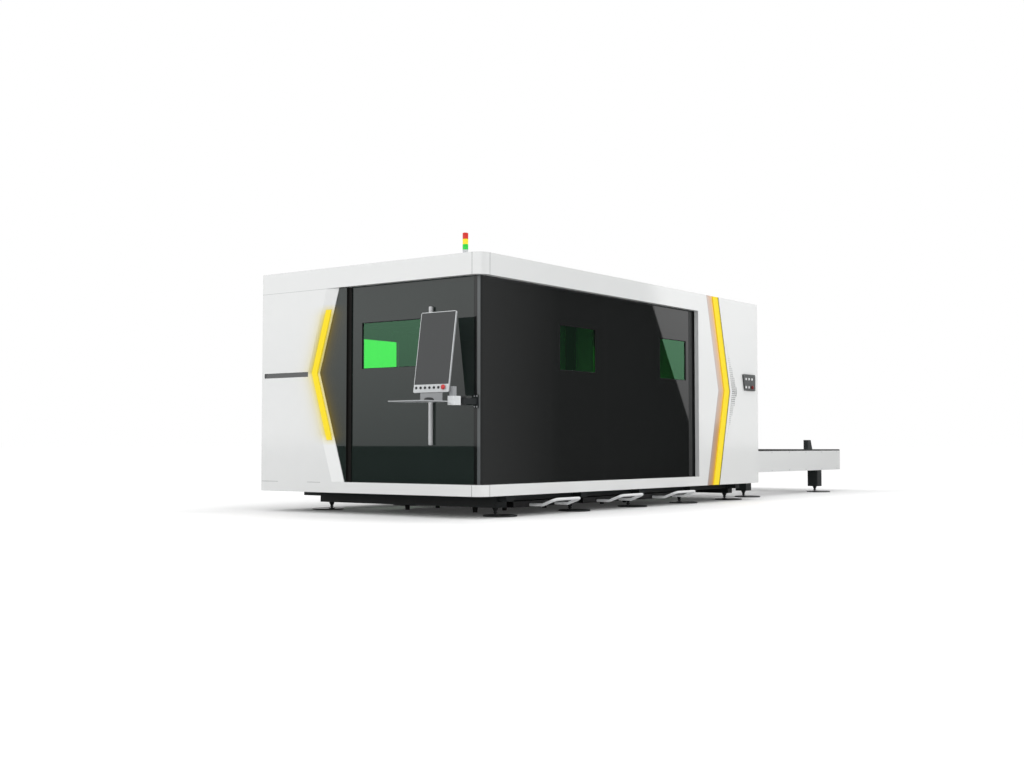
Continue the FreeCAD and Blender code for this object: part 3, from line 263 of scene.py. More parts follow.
def makeEndPaint():
    # across: the distance of the place from the slanted right border of the strip, along X
    recipe = Recipe("endPaint")
    x, y, z = recipe.corner()
    inward = recipe.math("MINIMUM", y, recipe.minus(endMarks["wide"], y))
    slant = recipe.times(recipe.math("ABSOLUTE", recipe.minus(z, endMarks["tipZ"])), endMarks["rise"])
    across = recipe.plus(recipe.minus(x, endMarks["tipX"]), slant)
    start, end = endMarks["chamfer"]
    middle = (start + end) / 2
    # painted shade on the chamfer, turning orange where the strip's light would bounce onto it
    paintedBounce = recipe.blend(recipe.ramp(across, start, middle), solid(endMarks["chamferPaintedShade"]),
                        solid(endMarks["chamferPaintedBounce"]))
    paintedBounce = recipe.blend(recipe.ramp(across, middle, end), paintedBounce, solid(endMarks["chamferPaintedGlow"]))
    colour = recipe.blend(recipe.within(across, start, 0.0), whiteBase(recipe), paintedBounce)
    # a thin line of painted shade where the groove's wall beside the strip lies in shade
    colour = recipe.blend(recipe.within(across, *endMarks["line"]), colour, solid(endMarks["grooveShadeColour"]))
    # the walls of the bores painted dark as shade
    bores = recipe.times(recipe.within(across, *endMarks["bores"]),
                         recipe.within(inward, *endMarks["boreDepth"]))
    colour = recipe.blend(bores, colour, solid(endMarks["boreShadeColour"]))
    # the edge face in the reveal painted grey as shade, near black deeper in
    shade = recipe.blend(recipe.within(inward, *endMarks["edgeTurn"]), solid(endMarks["edgeShadeGrey"]),
                         solid(endMarks["edgeShadeDark"]))
    return finishWhite(recipe, recipe.blend(recipe.within(x, *endMarks["edgeX"]), colour, shade))


# dark glossy panels: smoked front glass, the console's screen and the darker long side
frontGlass = {"colour": (0.014, 0.0212, 0.0188), "patches": (0.1, 1.3), "ior": 1.68, "roughness": 0.015}
screenGlass = {"colour": (0.028, 0.031, 0.032), "patches": (0.06, 4.0), "ior": 1.62, "roughness": 0.05}
sideGlass = {"colour": (0.007, 0.008, 0.0078), "patches": (0.1, 1.3), "ior": 1.62, "roughness": 0.02,
             "sealX": (3.667, 3.703), "sealColour": (0.012, 0.013, 0.013), "sealRough": 0.6, "sealDull": 0.45,
             "seams": ((1.056, 1.08), (1.97, 1.994)), "seamColour": (0.0112, 0.0122, 0.012)}


def makeGlass(name, look):
    recipe = Recipe(name)
    return recipe.shade(Base_Color=tonedLook(recipe, look), Roughness=look["roughness"], IOR=look["ior"])


def makeSideGlass():
    # the last few centimetres before the end cover are a matt black seal
    recipe = Recipe("sideGlass")
    x = recipe.corner()[0]
    seal = recipe.within(x, *sideGlass["sealX"])
    colour = recipe.blend(seal, tonedLook(recipe, sideGlass), solid(sideGlass["sealColour"]))
    for low, high in sideGlass["seams"]:
        colour = recipe.blend(recipe.within(x, low, high), colour, solid(sideGlass["seamColour"]))
    rough = recipe.plus(recipe.times(seal, sideGlass["sealRough"]), sideGlass["roughness"])
    shine = recipe.minus(plainShine, recipe.times(seal, sideGlass["sealDull"]))
    return recipe.shade(Base_Color=colour, Roughness=rough, Specular_IOR_Level=shine, IOR=sideGlass["ior"])


# the corner post: dark glass with a painted highlight on its round, a light stripe standing in for a lamp's
# reflection
postMarks = {"paintedHighlight": (-0.01, 0.026), "paintedHighlightColour": (0.098, 0.107, 0.11), "turn": 0.004,
             "round": (0.05, 0.1125)}


def makePostGlass():
    # the painted highlight lies where the round's Y less its X is between two values
    recipe = Recipe("postGlass")
    x, y, z = recipe.corner()
    off = recipe.minus(y, x)
    (low, high), turn = postMarks["paintedHighlight"], postMarks["turn"]
    rise = recipe.ramp(off, low - turn, low + turn)
    fall = recipe.ramp(off, high + turn, high - turn)
    bend = recipe.times(recipe.within(x, *postMarks["round"]), recipe.within(y, *postMarks["round"]))
    paintedHighlight = recipe.times(rise, fall, bend)
    colour = recipe.blend(paintedHighlight, tonedLook(recipe, sideGlass), solid(postMarks["paintedHighlightColour"]))
    return recipe.shade(Base_Color=colour, Roughness=sideGlass["roughness"], IOR=sideGlass["ior"])


# the front infill: smoked glass beside the cover, with the matt jamb of the door at its other end
infill = {"jambEnd": 1.541, "jambColour": (0.011, 0.0105, 0.0098), "jambRoughness": 0.5, "jambDull": 0.42,
          "paintedGlowColour": (0.135, 0.092, 0.0), "glowReach": 0.055, "glowStart": 1.7, "glowDull": 0.25}


def makeInfill():
    # the glass has the strip's glow painted into its colour, strongest beside the cover's edge
    recipe = Recipe("infillGlass")
    jamb = recipe.ramp(recipe.corner()[1], infill["jambEnd"] + softEdge, infill["jambEnd"] - softEdge)
    glow = paintedGlowShare(recipe, infill["glowReach"], infill["glowStart"])
    share = recipe.math("MINIMUM", glow, 1.0)
    # painted glow of the strip on the smoked glass
    glass = recipe.blend(share, tonedLook(recipe, frontGlass), solid(infill["paintedGlowColour"]))
    colour = recipe.blend(jamb, glass, solid(infill["jambColour"]))
    dull = recipe.times(jamb, infill["jambDull"])
    dull = recipe.plus(dull, recipe.times(glow, infill["glowDull"]), clamp=True)
    return recipe.shade(Base_Color=colour, Roughness=recipe.times(jamb, infill["jambRoughness"]),
                        Specular_IOR_Level=recipe.minus(plainShine, dull), IOR=frontGlass["ior"])


# laser-safe green panes: light passes tinted, with a clear gloss on top
greenPane = {"tint": (0.45, 0.985, 0.5), "patches": (0.01, 3.0), "gloss": (0.46, 1.0, 0.62),
             "roughness": 0.01, "ior": 2.1}


def makeGreenPane():
    recipe = Recipe("greenPane")
    clear = recipe.add("ShaderNodeBsdfTransparent", toned(recipe, greenPane["tint"], greenPane["patches"]))
    gloss = recipe.add("ShaderNodeBsdfGlossy", solid(greenPane["gloss"]), greenPane["roughness"])
    fresnel = recipe.add("ShaderNodeFresnel", greenPane["ior"]).outputs[0]
    back = recipe.add("ShaderNodeNewGeometry").outputs["Backfacing"]
    share = recipe.times(fresnel, recipe.minus(1.0, back))
    recipe.tree.nodes.remove(recipe.shader)
    return recipe.surface(recipe.add("ShaderNodeMixShader", share, clear.outputs[0], gloss.outputs[0]))


# lit diffusers and lenses, a coloured skin that also glows: colour, light, its strength and roughness
glows = {
    "yellowLight": ((0.58, 0.44, 0.006), (0.4, 0.31, 0.003), 1.0, 0.5),
    "greenLens": ((0.03, 0.55, 0.06), (0.01, 0.3, 0.02), 0.5, 0.12),
    "yellowLens": ((0.8, 0.66, 0.03), (0.5, 0.42, 0.02), 0.4, 0.12),
    "redLens": ((0.58, 0.03, 0.02), (0.4, 0.02, 0.015), 0.3, 0.12),
}
glowPatches = (0.03, 14.0)


def makeGlow(name):
    colour, light, strength, roughness = glows[name]
    recipe = Recipe(name)
    return recipe.shade(Base_Color=toned(recipe, colour, glowPatches), Emission_Color=solid(light),
                        Emission_Strength=strength, Roughness=roughness)


# painted metal and plastic with a fine grain: colour, patches, roughness and scale of the grain
coats = {
    "blackFrame": ((0.016, 0.02, 0.021), (0.18, 5), 0.42, 700),
    "bedPaint": ((0.17, 0.18, 0.19), (0.05, 3), 0.45, 500),
    "lightGrey": ((0.62, 0.64, 0.65), (0.02, 4), 0.3, 800),
    "shelfGrey": ((0.37, 0.38, 0.39), (0.03, 6), 0.3, 800),
    "blackPlastic": ((0.016, 0.018, 0.02), (0.1, 20), 0.35, 1500),
    "boxPlastic": ((0.07, 0.075, 0.075), (0.06, 20), 0.3, 1500),
    "footMetal": ((0.03, 0.032, 0.033), (0.15, 30), 0.3, 900),
    "rubber": ((0.01, 0.01, 0.011), (0.1, 30), 0.6, 1200),
    "palletSteel": ((0.21, 0.21, 0.205), (0.14, 9), 0.42, 400),
    "screwMetal": ((0.42, 0.43, 0.44), (0.06, 60), 0.28, 1500),
    "paleButton": ((0.75, 0.76, 0.76), (0.02, 40), 0.22, 2000),
    "dullRed": ((0.2, 0.012, 0.014), (0.05, 40), 0.35, 2000),
    "redPlastic": ((0.58, 0.035, 0.035), (0.05, 40), 0.25, 2000),
}
grain = {"detail": 2.0, "strength": 0.08, "depth": 0.0003}


def grained(recipe, scale, strength=grain["strength"]):
    recipe.bump(recipe.noise(scale, grain["detail"]), strength, grain["depth"])


def makeCoat(name):
    colour, patches, roughness, grainScale = coats[name]
    recipe = Recipe(name)
    grained(recipe, grainScale)
    return recipe.shade(Base_Color=toned(recipe, colour, patches), Roughness=roughness)


# brushed steel: long fine scratches along one axis
steel = {"colour": (0.62, 0.63, 0.64), "dark": 0.88, "roughness": 0.28, "scratch": 260.0, "detail": 4.0,
         "stretch": 0.03, "strength": 0.12, "depth": 0.0002, "satinMetal": 0.25, "satinRough": 0.36}


def makeSteel(name, along, metal=1.0, rough=steel["roughness"]):
    recipe = Recipe(name)
    stretch = [1.0, 1.0, 1.0]
    stretch[along] = steel["stretch"]
    scratches = recipe.noise(steel["scratch"], steel["detail"], stretch)
    recipe.bump(scratches, steel["strength"], steel["depth"])
    dark = solid([part * steel["dark"] for part in steel["colour"]])
    colour = recipe.blend(scratches, dark, solid(steel["colour"]))
    return recipe.shade(Base_Color=colour, Roughness=rough, Metallic=metal)


# trays: satin black with a bare steel grip in front; the console's arm: a white block with dark cheeks
twoTones = {
    "trayPaint": {"axis": 1, "turn": 0.155, "low": (0.82, 0.83, 0.84), "high": (0.012, 0.012, 0.013),
                  "lowMetal": 0.15, "lowRough": 0.35, "highRough": 0.42},
    "armPaint": {"axis": 0, "turn": -0.183, "low": (0.66, 0.68, 0.69), "high": (0.02, 0.021, 0.022),
                 "lowMetal": 0.0, "lowRough": 0.3, "highRough": 0.4},
}
twoToneSkin = {"lowPatches": (0.02, 30.0), "highPatches": (0.18, 5.0), "grain": 700.0}


def makeTwoTone(name):
    look = twoTones[name]
    recipe = Recipe(name)
    share = recipe.ramp(recipe.corner()[look["axis"]], look["turn"] - softEdge, look["turn"] + softEdge)
    colour = recipe.blend(share, toned(recipe, look["low"], twoToneSkin["lowPatches"]),
                          toned(recipe, look["high"], twoToneSkin["highPatches"]))
    metal = recipe.times(recipe.minus(1.0, share), look["lowMetal"])
    rough = recipe.plus(look["lowRough"], recipe.times(share, look["highRough"] - look["lowRough"]))
    grained(recipe, twoToneSkin["grain"])
    return recipe.shade(Base_Color=colour, Metallic=metal, Roughness=rough)


# the console's housing: a light front, darker on its sides and back; the leaning face fixes the depth
housing = {"x": -0.29, "z": 1.035, "lean": 8.8, "turn": 0.004, "front": (0.6, 0.62, 0.63),
           "frontPatches": (0.02, 4.0), "sides": (0.3, 0.31, 0.32), "sidePatches": (0.03, 6.0),
           "grain": 900.0, "grainStrength": 0.06, "roughness": 0.3}


def makeHousing():
    recipe = Recipe("housingPaint")
    x, y, z = recipe.corner()
    lean = math.radians(housing["lean"])
    ahead = recipe.times(recipe.minus(x, housing["x"]), math.cos(lean))
    depth = recipe.minus(ahead, recipe.times(recipe.minus(z, housing["z"]), math.sin(lean)))
    share = recipe.ramp(depth, housing["turn"] - softEdge, housing["turn"] + softEdge)
    colour = recipe.blend(share, toned(recipe, housing["front"], housing["frontPatches"]),
                          toned(recipe, housing["sides"], housing["sidePatches"]))
    grained(recipe, housing["grain"], housing["grainStrength"])
    return recipe.shade(Base_Color=colour, Roughness=housing["roughness"])


# the table's covers: white with a dark rubber lip on top
tableLip = {"z": (0.536, 0.6), "colour": (0.03, 0.03, 0.03)}


def makeTablePaint():
    recipe = Recipe("tablePaint")
    lip = recipe.within(recipe.corner()[2], *tableLip["z"])
    return finishWhite(recipe, recipe.blend(lip, whiteBase(recipe), solid(tableLip["colour"])))


finishes = {name: makeCoat(name) for name in coats}
finishes.update({name: makeGlow(name) for name in glows})
finishes.update({name: makeTwoTone(name) for name in twoTones})
finishes.update({name: makePlatePaint(name) for name in ("roofPaint", "wallPaint")})
finishes.update({
    "bandPaint": makeBandPaint(), "coverPaint": makeCoverPaint(), "endPaint": makeEndPaint(),
    "frontGlass": makeGlass("frontGlass", frontGlass), "screenGlass": makeGlass("screenGlass", screenGlass),
    "sideGlass": makeSideGlass(), "postGlass": makePostGlass(), "infillGlass": makeInfill(),
    "greenPane": makeGreenPane(), "steelX": makeSteel("steelX", 0), "steelZ": makeSteel("steelZ", 2),
    "satinSteel": makeSteel("satinSteel", 2, steel["satinMetal"], steel["satinRough"]),
    "housingPaint": makeHousing(), "tablePaint": makeTablePaint(),
})
print("materials made:", len(finishes))

finishNodes = {
    "blackFrame": ("base_frame", "levelling_feet", "cabin_frame", "console_bracket", "table_frame",
                   "table_drive"),
    "bedPaint": ("machine_bed", "pallet_runways", "gantry_beam", "exchange_gate", "upper_pallet",
                 "lower_pallet"),
    "steelX": ("bed_rails", "door_track"), "steelZ": ("cutting_head",), "satinSteel": ("front_door_handle",),
    "roofPaint": ("roof_panel",), "wallPaint": ("end_wall",), "bandPaint": ("roof_fascia", "sill_band"),
    "endPaint": ("end_cover", "far_end_cover"), "tablePaint": ("table_side_covers",),
    "coverPaint": ("front_cover",), "postGlass": ("corner_post",), "frontGlass": ("front_door",),
    "infillGlass": ("front_infill",), "sideGlass": ("side_panels", "far_side_panels", "y_carriage"),
    "greenPane": ("side_windows", "front_door_window"),
    "yellowLight": ("side_light_strips", "front_light_strip"), "lightGrey": ("tower_base",),
    "greenLens": ("tower_green",), "yellowLens": ("tower_yellow",), "redLens": ("tower_red",),
    "armPaint": ("console_arm",), "housingPaint": ("console_housing",), "shelfGrey": ("keyboard_shelf",),
    "screenGlass": ("console_screen",), "boxPlastic": ("control_box",),
    "redPlastic": ("console_stop_button",), "dullRed": ("box_stop_button",),
    "blackPlastic": ("mouse", *(f"console_button_{key}" for key in range(1, 7))),
    "paleButton": [f"box_button_{key}" for key in range(1, 6)],
    "trayPaint": [f"scrap_tray_{key}" for key in range(1, 4)],
}
for finish, names in finishNodes.items():
    for name in names:
        nodes[name].data.materials.clear()
        nodes[name].data.materials.append(finishes[finish])
print("finishes set on", sum(len(names) for names in finishNodes.values()), "nodes")

# surfaces from rings of points, rows along a path and columns round it, counterclockwise about the path
def skin(rings, closed=False):
    # each row is joined to the next; a closed path joins the last row to the first, an open one gets two fans
    rows, columns = rings.shape[:2]
    count = rows * columns
    first = np.arange(rows if closed else rows - 1)
    row, column = np.meshgrid(first, np.arange(columns), indexing="ij")
    beyond, after = (row + 1) % rows, (column + 1) % columns
    here, there = row * columns, beyond * columns
    sides = np.stack((here + column, here + after, there + after, there + column), -1).reshape(-1, 4)
    points = rings.reshape(-1, 3)
    if closed:
        return points, sides, np.zeros((0, 3), int)
    ring, turned = np.arange(columns), (np.arange(columns) + 1) % columns
    last = count - columns
    fans = (np.stack([np.full(columns, count), turned, ring], -1),
            np.stack([np.full(columns, count + 1), last + ring, last + turned], -1))
    middles = np.stack([rings[0].mean(0), rings[-1].mean(0)])
    return np.concatenate([points, middles]), sides, np.concatenate(fans)


def spun(profile, start, direction, sides, flute=0.0, flutes=0, fluted=None):
    # rings of (radius, distance) pairs about a direction; a fluted row's radius falls in even waves round it
    ahead = Vector(direction).normalized()
    right = ahead.orthogonal().normalized()
    angles = np.arange(sides) * 2 * math.pi / sides
    circle = np.outer(np.cos(angles), right) + np.outer(np.sin(angles), ahead.cross(right))
    radii, along = np.array(profile, float).T
    depth = np.zeros(len(radii)) if fluted is None else np.array(fluted, float)
    reach = radii[:, None] - flute * depth[:, None] * (1 - np.cos(flutes * angles)) / 2
    rings = np.array(start) + circle[None] * reach[..., None] + (np.array(ahead) * along[:, None])[:, None]
    return skin(rings)


def slab(low, high, cut):
    # an upright block with all edges cut: four eight-cornered rings, drawn in by the cut at both ends
    (x0, y0, z0), (x1, y1, z1) = low, high
    rings = []
    for inset, z in ((cut, z0), (0.0, z0 + cut), (0.0, z1 - cut), (cut, z1)):
        a, b, c, d = x0 + inset, x1 - inset, y0 + inset, y1 - inset
        rings.append([(a + cut, c, z), (b - cut, c, z), (b, c + cut, z), (b, d - cut, z),
                      (b - cut, d, z), (a + cut, d, z), (a, d - cut, z), (a, c + cut, z)])
    return skin(np.array(rings))


def addObject(name, data):
    thing = bpy.data.objects.new(name, data)
    bpy.context.scene.collection.objects.link(thing)
    return thing


sharpAngle = 35  # degrees; edges that turn more than this stay sharp
up, near, far = (0, 0, 1), (0, -1, 0), (0, 1, 0)  # the directions in which most pieces are spun


def addPiece(name, parts, finish, body, replaced):
    points, faces, count = [], [], 0
    for place, sides, caps in parts:
        points.append(place)
        faces += (sides + count).tolist() + (caps + count).tolist()
        count += len(place)
    mesh = bpy.data.meshes.new(name)
    mesh.from_pydata((np.concatenate(points) + np.array(at(0, 0, 0))).tolist(), [], faces)
    mesh.shade_smooth()
    mesh.set_sharp_from_angle(angle=math.radians(sharpAngle))
    mesh.materials.append(finishes[finish])
    piece = addObject(name, mesh)
    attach(piece, body)
    if replaced:
        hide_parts(*replaced)


# levelling feet: a rubber-edged disc, a threaded stem with its nut and a conical hub, (x, stem y, disc y)
feet = {"main": (0.52, 1.66, 2.69, 3.72, 4.75), "stems": (0.25, 2.19), "discs": (0.2, 2.24),
        "table": (5.56, 7.62), "tableStems": (0.4175, 2.1825), "tableDiscs": (0.3675, 2.2325),
        "disc": ((0.144, 0.0), (0.148, 0.002), (0.148, 0.0055), (0.1455, 0.006), (0.1455, 0.0075),
                 (0.148, 0.008), (0.148, 0.01), (0.145, 0.013), (0.125, 0.013), (0.122, 0.0115),
                 (0.06, 0.0115)),
        "boss": ((0.03, 0.008), (0.03, 0.015), (0.026, 0.018), (0.012, 0.0185)),
        "nut": ((0.017, 0.026), (0.0185, 0.0275), (0.0185, 0.035), (0.017, 0.0365)),
        "hub": ((0.0105, 0.037), (0.012, 0.039), (0.0265, 0.071), (0.027, 0.073), (0.027, 0.075)),
        "threadRadius": 0.01, "threadDepth": 0.0012, "threadLow": 0.0165, "threadHigh": 0.0375, "turns": 9,
        "discSides": 48, "nutSides": 6, "stemSides": 24}


def makeFeet():
    # the thread's radius falls and rises between two values along the stem, in even steps
    along = np.linspace(feet["threadLow"], feet["threadHigh"], 2 * feet["turns"] + 1)
    radii = feet["threadRadius"] - feet["threadDepth"] * (np.arange(len(along)) % 2)
    thread = np.stack([radii, along], -1)
    places = [(x, *pair) for x in feet["main"] for pair in zip(feet["stems"], feet["discs"])]
    places += [(x, *pair) for x in feet["table"] for pair in zip(feet["tableStems"], feet["tableDiscs"])]
    parts = []
    for x, stemY, discY in places:
        parts += [spun(feet["disc"], (x, discY, 0), up, feet["discSides"]),
                  spun(feet["nut"], (x, stemY, 0), up, feet["nutSides"])]
        parts += [spun(shape, (x, stemY, 0), up, feet["stemSides"])
                  for shape in (feet["boss"], thread, feet["hub"])]
    addPiece("levellingFeet", parts, "footMetal", "machine", ["levelling_feet"])


# tower light: a flanged foot with three screws, and three fluted lenses with plain rims
tower = {"x": 0.18, "y": 0.31, "z": 2.196, "radius": 0.024, "flute": 0.0011, "flutes": 30,
         "foot": ((0.0365, 0.0), (0.038, 0.001), (0.038, 0.005), (0.037, 0.006), (0.0265, 0.006),
                  (0.0245, 0.0075), (0.0235, 0.012), (0.0225, 0.014), (0.0225, 0.046), (0.0235, 0.048),
                  (0.024, 0.05), (0.024, 0.0545), (0.0232, 0.0555), (0.0232, 0.057), (0.024, 0.058),
                  (0.024, 0.06)),
         "screw": ((0.0036, 0.0), (0.0036, 0.0012), (0.0026, 0.0021)), "screwRing": 0.0315,
         "screwZ": 0.0058, "screwTurns": (30, 150, 270), "footSides": 48, "screwSides": 12, "lensSides": 180,
         "rim": 0.965, "crown": 0.75, "lowSteps": (0.0012, 0.0045, 0.0062),
         "highSteps": (0.0062, 0.0045, 0.003), "fluted": (0, 0, 0, 1, 1, 0, 0, 0),
         "lenses": (("green", 2.256, 2.302), ("yellow", 2.302, 2.347), ("red", 2.347, 2.401))}


def makeTower():
    x, y, z = tower["x"], tower["y"], tower["z"]
    parts = [spun(tower["foot"], (x, y, z), up, tower["footSides"])]
    for turn in tower["screwTurns"]:
        turn, ring = math.radians(turn), tower["screwRing"]
        spot = (x + ring * math.cos(turn), y + ring * math.sin(turn), z + tower["screwZ"])
        parts.append(spun(tower["screw"], spot, up, tower["screwSides"]))
    addPiece("towerFoot", parts, "lightGrey", "machine", ["tower_base"])
    radius = tower["radius"]
    for colour, low, high in tower["lenses"]:
        tall = high - low
        top = tower["crown"] if colour == "red" else tower["rim"]
        profile = [(radius * tower["rim"], 0)] + [(radius, step) for step in tower["lowSteps"]]
        profile += [(radius, tall - step) for step in tower["highSteps"]] + [(radius * top, tall)]
        lens = spun(profile, (x, y, low), up, tower["lensSides"], tower["flute"], tower["flutes"],
                    tower["fluted"])
        addPiece(f"{colour}Lens", [lens], f"{colour}Lens", "machine", [f"tower_{colour}"])


# console keys and mushroom stop, pressed along the leaning face's own direction
console = {"place": (-0.29, 0.109, 1.035), "lean": 8.8, "keyZ": 0.039, "keyFirst": 0.107, "keyPitch": 0.047,
           "stopY": 0.051, "sunk": 0.008, "capX": -0.006, "keys": 6, "keySides": 40, "stemSides": 32,
           "capSides": 48,
           "key": ((0.0106, 0.0), (0.011, 0.0006), (0.011, 0.0112), (0.0104, 0.0125), (0.0094, 0.013),
                   (0.008, 0.0129), (0.005, 0.0122)),
           "stem": ((0.0078, 0.0), (0.008, 0.0004), (0.008, 0.0145)),
           "cap": ((0.015, 0.0), (0.0188, 0.0004), (0.02, 0.0024), (0.02, 0.004), (0.0193, 0.0046),
                   (0.0193, 0.0056), (0.02, 0.0062), (0.0198, 0.0085), (0.0186, 0.011), (0.0155, 0.0128),
                   (0.01, 0.0137), (0.0045, 0.014))}


def leaning(x, y, z):
    # a place in the housing's own depth, width and height
    lean, (startX, startY, startZ) = math.radians(console["lean"]), console["place"]
    return (startX + x * math.cos(lean) + z * math.sin(lean), startY + y,
            startZ - x * math.sin(lean) + z * math.cos(lean))


def makeConsoleKeys():
    lean = math.radians(console["lean"])
    outward = (-math.cos(lean), 0, math.sin(lean))
    for number in range(console["keys"]):
        y = console["keyFirst"] + number * console["keyPitch"]
        key = spun(console["key"], leaning(console["sunk"], y, console["keyZ"]), outward, console["keySides"])
        node = f"console_button_{number + 1}"
        addPiece(f"consoleKey{number + 1}", [key], "blackPlastic", node, [node])
    y, z = console["stopY"], console["keyZ"]
    parts = [spun(console["stem"], leaning(console["sunk"], y, z), outward, console["stemSides"]),
             spun(console["cap"], leaning(console["capX"], y, z), outward, console["capSides"])]
    addPiece("consoleStop", parts, "redPlastic", "console_stop", ["console_stop_button"])


# control box: five dished keys in two rows, and a mushroom stop like the console's
box = {"startX": 4.767, "pitch": 0.072, "keyY": -0.01, "stopY": -0.024, "rows": ((1.342, 3), (1.252, 2)),
       "key": ((0.0136, 0.0), (0.014, 0.0006), (0.014, 0.0128), (0.0133, 0.0145), (0.0121, 0.015),
               (0.0104, 0.0148), (0.0065, 0.014))}


def makeBoxKeys():
    spots = [(box["startX"] + column * box["pitch"], z)
             for z, count in box["rows"] for column in range(count)]
    for number, (x, z) in enumerate(spots, 1):
        key = spun(box["key"], (x, box["keyY"], z), near, console["keySides"])
        node = f"box_button_{number}"
        addPiece(f"boxKey{number}", [key], "paleButton", node, [node])
    x, z = box["startX"] + 2 * box["pitch"], box["rows"][1][0]
    parts = [spun(console["stem"], (x, box["keyY"], z), near, console["stemSides"]),
             spun(console["cap"], (x, box["stopY"], z), near, console["capSides"])]
    addPiece("boxStop", parts, "dullRed", "box_stop", ["box_stop_button"])


# door handle: a satin bar with rounded ends and two grooves, on a narrow web
handle = {"x": 0.04, "y": 0.571, "low": 0.606, "high": 1.78, "webX": 0.061, "web": 0.01,
          "webInset": 0.004, "webCut": 0.0015, "sides": 48,
          "end": ((0.008, 0.0), (0.013, 0.001), (0.0163, 0.0034), (0.018, 0.008), (0.018, 0.03),
                  (0.017, 0.0308), (0.017, 0.0328), (0.018, 0.0336))}


def makeHandle():
    x, y, low, high = (handle[name] for name in ("x", "y", "low", "high"))
    profile = list(handle["end"])
    profile += [(radius, high - low - along) for radius, along in reversed(handle["end"])]
    bar = spun(profile, (x, y, low), up, handle["sides"])
    web = slab((x, y - handle["web"], low + handle["webInset"]),
               (handle["webX"], y + handle["web"], high - handle["webInset"]), handle["webCut"])
    addPiece("doorHandle", [bar, web], "satinSteel", "front_door", ["front_door_handle"])


# mouse: rings of a rounded outline that shrink towards the crown, and a wheel across its front
mouse = {"x": -0.42, "y": 0.2, "z": 0.962, "long": 0.048, "wide": 0.029, "tall": 0.026, "power": 0.78,
         "waist": 2.6, "levels": 14, "top": 0.972, "wheelX": -0.44, "wheelZ": 0.9805, "wheelHalf": 0.0035,
         "wheel": ((0.005, 0.0), (0.006, 0.0012), (0.006, 0.0058), (0.005, 0.007)),
         "foot": 0.97, "sides": 48, "wheelSides": 24}


def makeMouse():
    # at a share of the height, the outline's size is (1 - share ** waist) ** (1 / waist)
    share = np.sin(np.linspace(0, math.pi / 2, mouse["levels"])) * mouse["top"]
    size = (1 - share ** mouse["waist"]) ** (1 / mouse["waist"])
    size[0] = mouse["foot"]
    angles = np.arange(mouse["sides"]) * 2 * math.pi / mouse["sides"]
    along, across = (np.sign(wave) * np.abs(wave) ** mouse["power"]
                     for wave in (np.cos(angles), np.sin(angles)))
    height = np.outer(mouse["z"] + share / mouse["top"] * mouse["tall"], np.ones(mouse["sides"]))
    rings = np.stack([mouse["x"] + mouse["long"] * size[:, None] * along,
                      mouse["y"] + mouse["wide"] * size[:, None] * across, height], -1)
    axle = (mouse["wheelX"], mouse["y"] - mouse["wheelHalf"], mouse["wheelZ"])
    parts = [skin(rings), spun(mouse["wheel"], axle, far, mouse["wheelSides"])]
    addPiece("mouseShell", parts, "blackPlastic", "console", ["mouse"])


# rubber gaskets lining the window openings: a loop of five-cornered rings round each opening
gasket = {"side": ((1.227, 1.819), (3.008, 3.541)), "sideZ": (1.279, 1.688), "sideY": 0.07, "wide": 2.6,
          "doorY": (0.7, 1.383), "doorZ": (1.279, 1.688), "doorX": 0.071, "round": 0.012, "steps": 5,
          "ring": ((0.0, -0.005), (0.006, -0.005), (0.0088, -0.0036), (0.0088, -0.0004), (0.0, -0.0004))}


def makeGasket(place, right, rise, out, low, high):
    # right, rise and out are unit directions with right x rise = out; seen from outside, the loop runs
    # counterclockwise
    right, rise, out = (np.array(direction, float) for direction in (right, rise, out))
    turns = [np.linspace(start, start + 90, gasket["steps"]) for start in (0, 90, 180, 270)]
    angles = np.radians(np.concatenate(turns))
    (left, foot), (side, top) = np.array(low) + gasket["round"], np.array(high) - gasket["round"]
    centres = np.repeat([(side, top), (left, top), (left, foot), (side, foot)], gasket["steps"], axis=0)
    aside = np.outer(np.cos(angles), right) + np.outer(np.sin(angles), rise)
    path = np.array(place) + centres[:, :1] * right + centres[:, 1:] * rise + gasket["round"] * aside
    lift, draw = np.array(gasket["ring"]).T
    rings = path[:, None] + aside[:, None] * draw[None, :, None] + out * lift[None, :, None]
    return skin(rings, closed=True)


def makeGaskets():
    low, high = gasket["sideZ"]
    parts = []
    for start, end in gasket["side"]:
        parts.append(makeGasket((0, gasket["sideY"], 0), (1, 0, 0), up, near, (start, low), (end, high)))
        parts.append(makeGasket((0, gasket["wide"] - gasket["sideY"], 0), up, (1, 0, 0), far,
                                (low, start), (high, end)))
    addPiece("sideGaskets", parts, "rubber", "machine", [])
    (start, end), (low, high) = gasket["doorY"], gasket["doorZ"]
    loop = makeGasket((gasket["doorX"], 0, 0), up, far, (-1, 0, 0), (low, start), (high, end))
    addPiece("doorGasket", [loop], "rubber", "front_door", [])


# pallets: tube frames on wheels, with toothed slats, (start x, low z, axle z)
pallets = {"upper_pallet": (1.4, 0.449, 0.4663), "lower_pallet": (5.15, 0.339, 0.3563), "long": 3.05,
           "tube": 0.044, "outerY": (0.516, 2.084), "slats": 20, "pitch": 0.145, "thick": 0.005,
           "rise": 0.075, "teeth": 37, "valley": 0.014, "tip": 0.2, "cut": 0.003,
           "wheelsX": (0.2, 1.525, 2.85), "wheelSides": 32,
           "wheel": ((0.018, 0.0), (0.02, 0.0015), (0.02, 0.014), (0.0188, 0.0155), (0.012, 0.0158),
                     (0.0115, 0.018), (0.005, 0.018))}


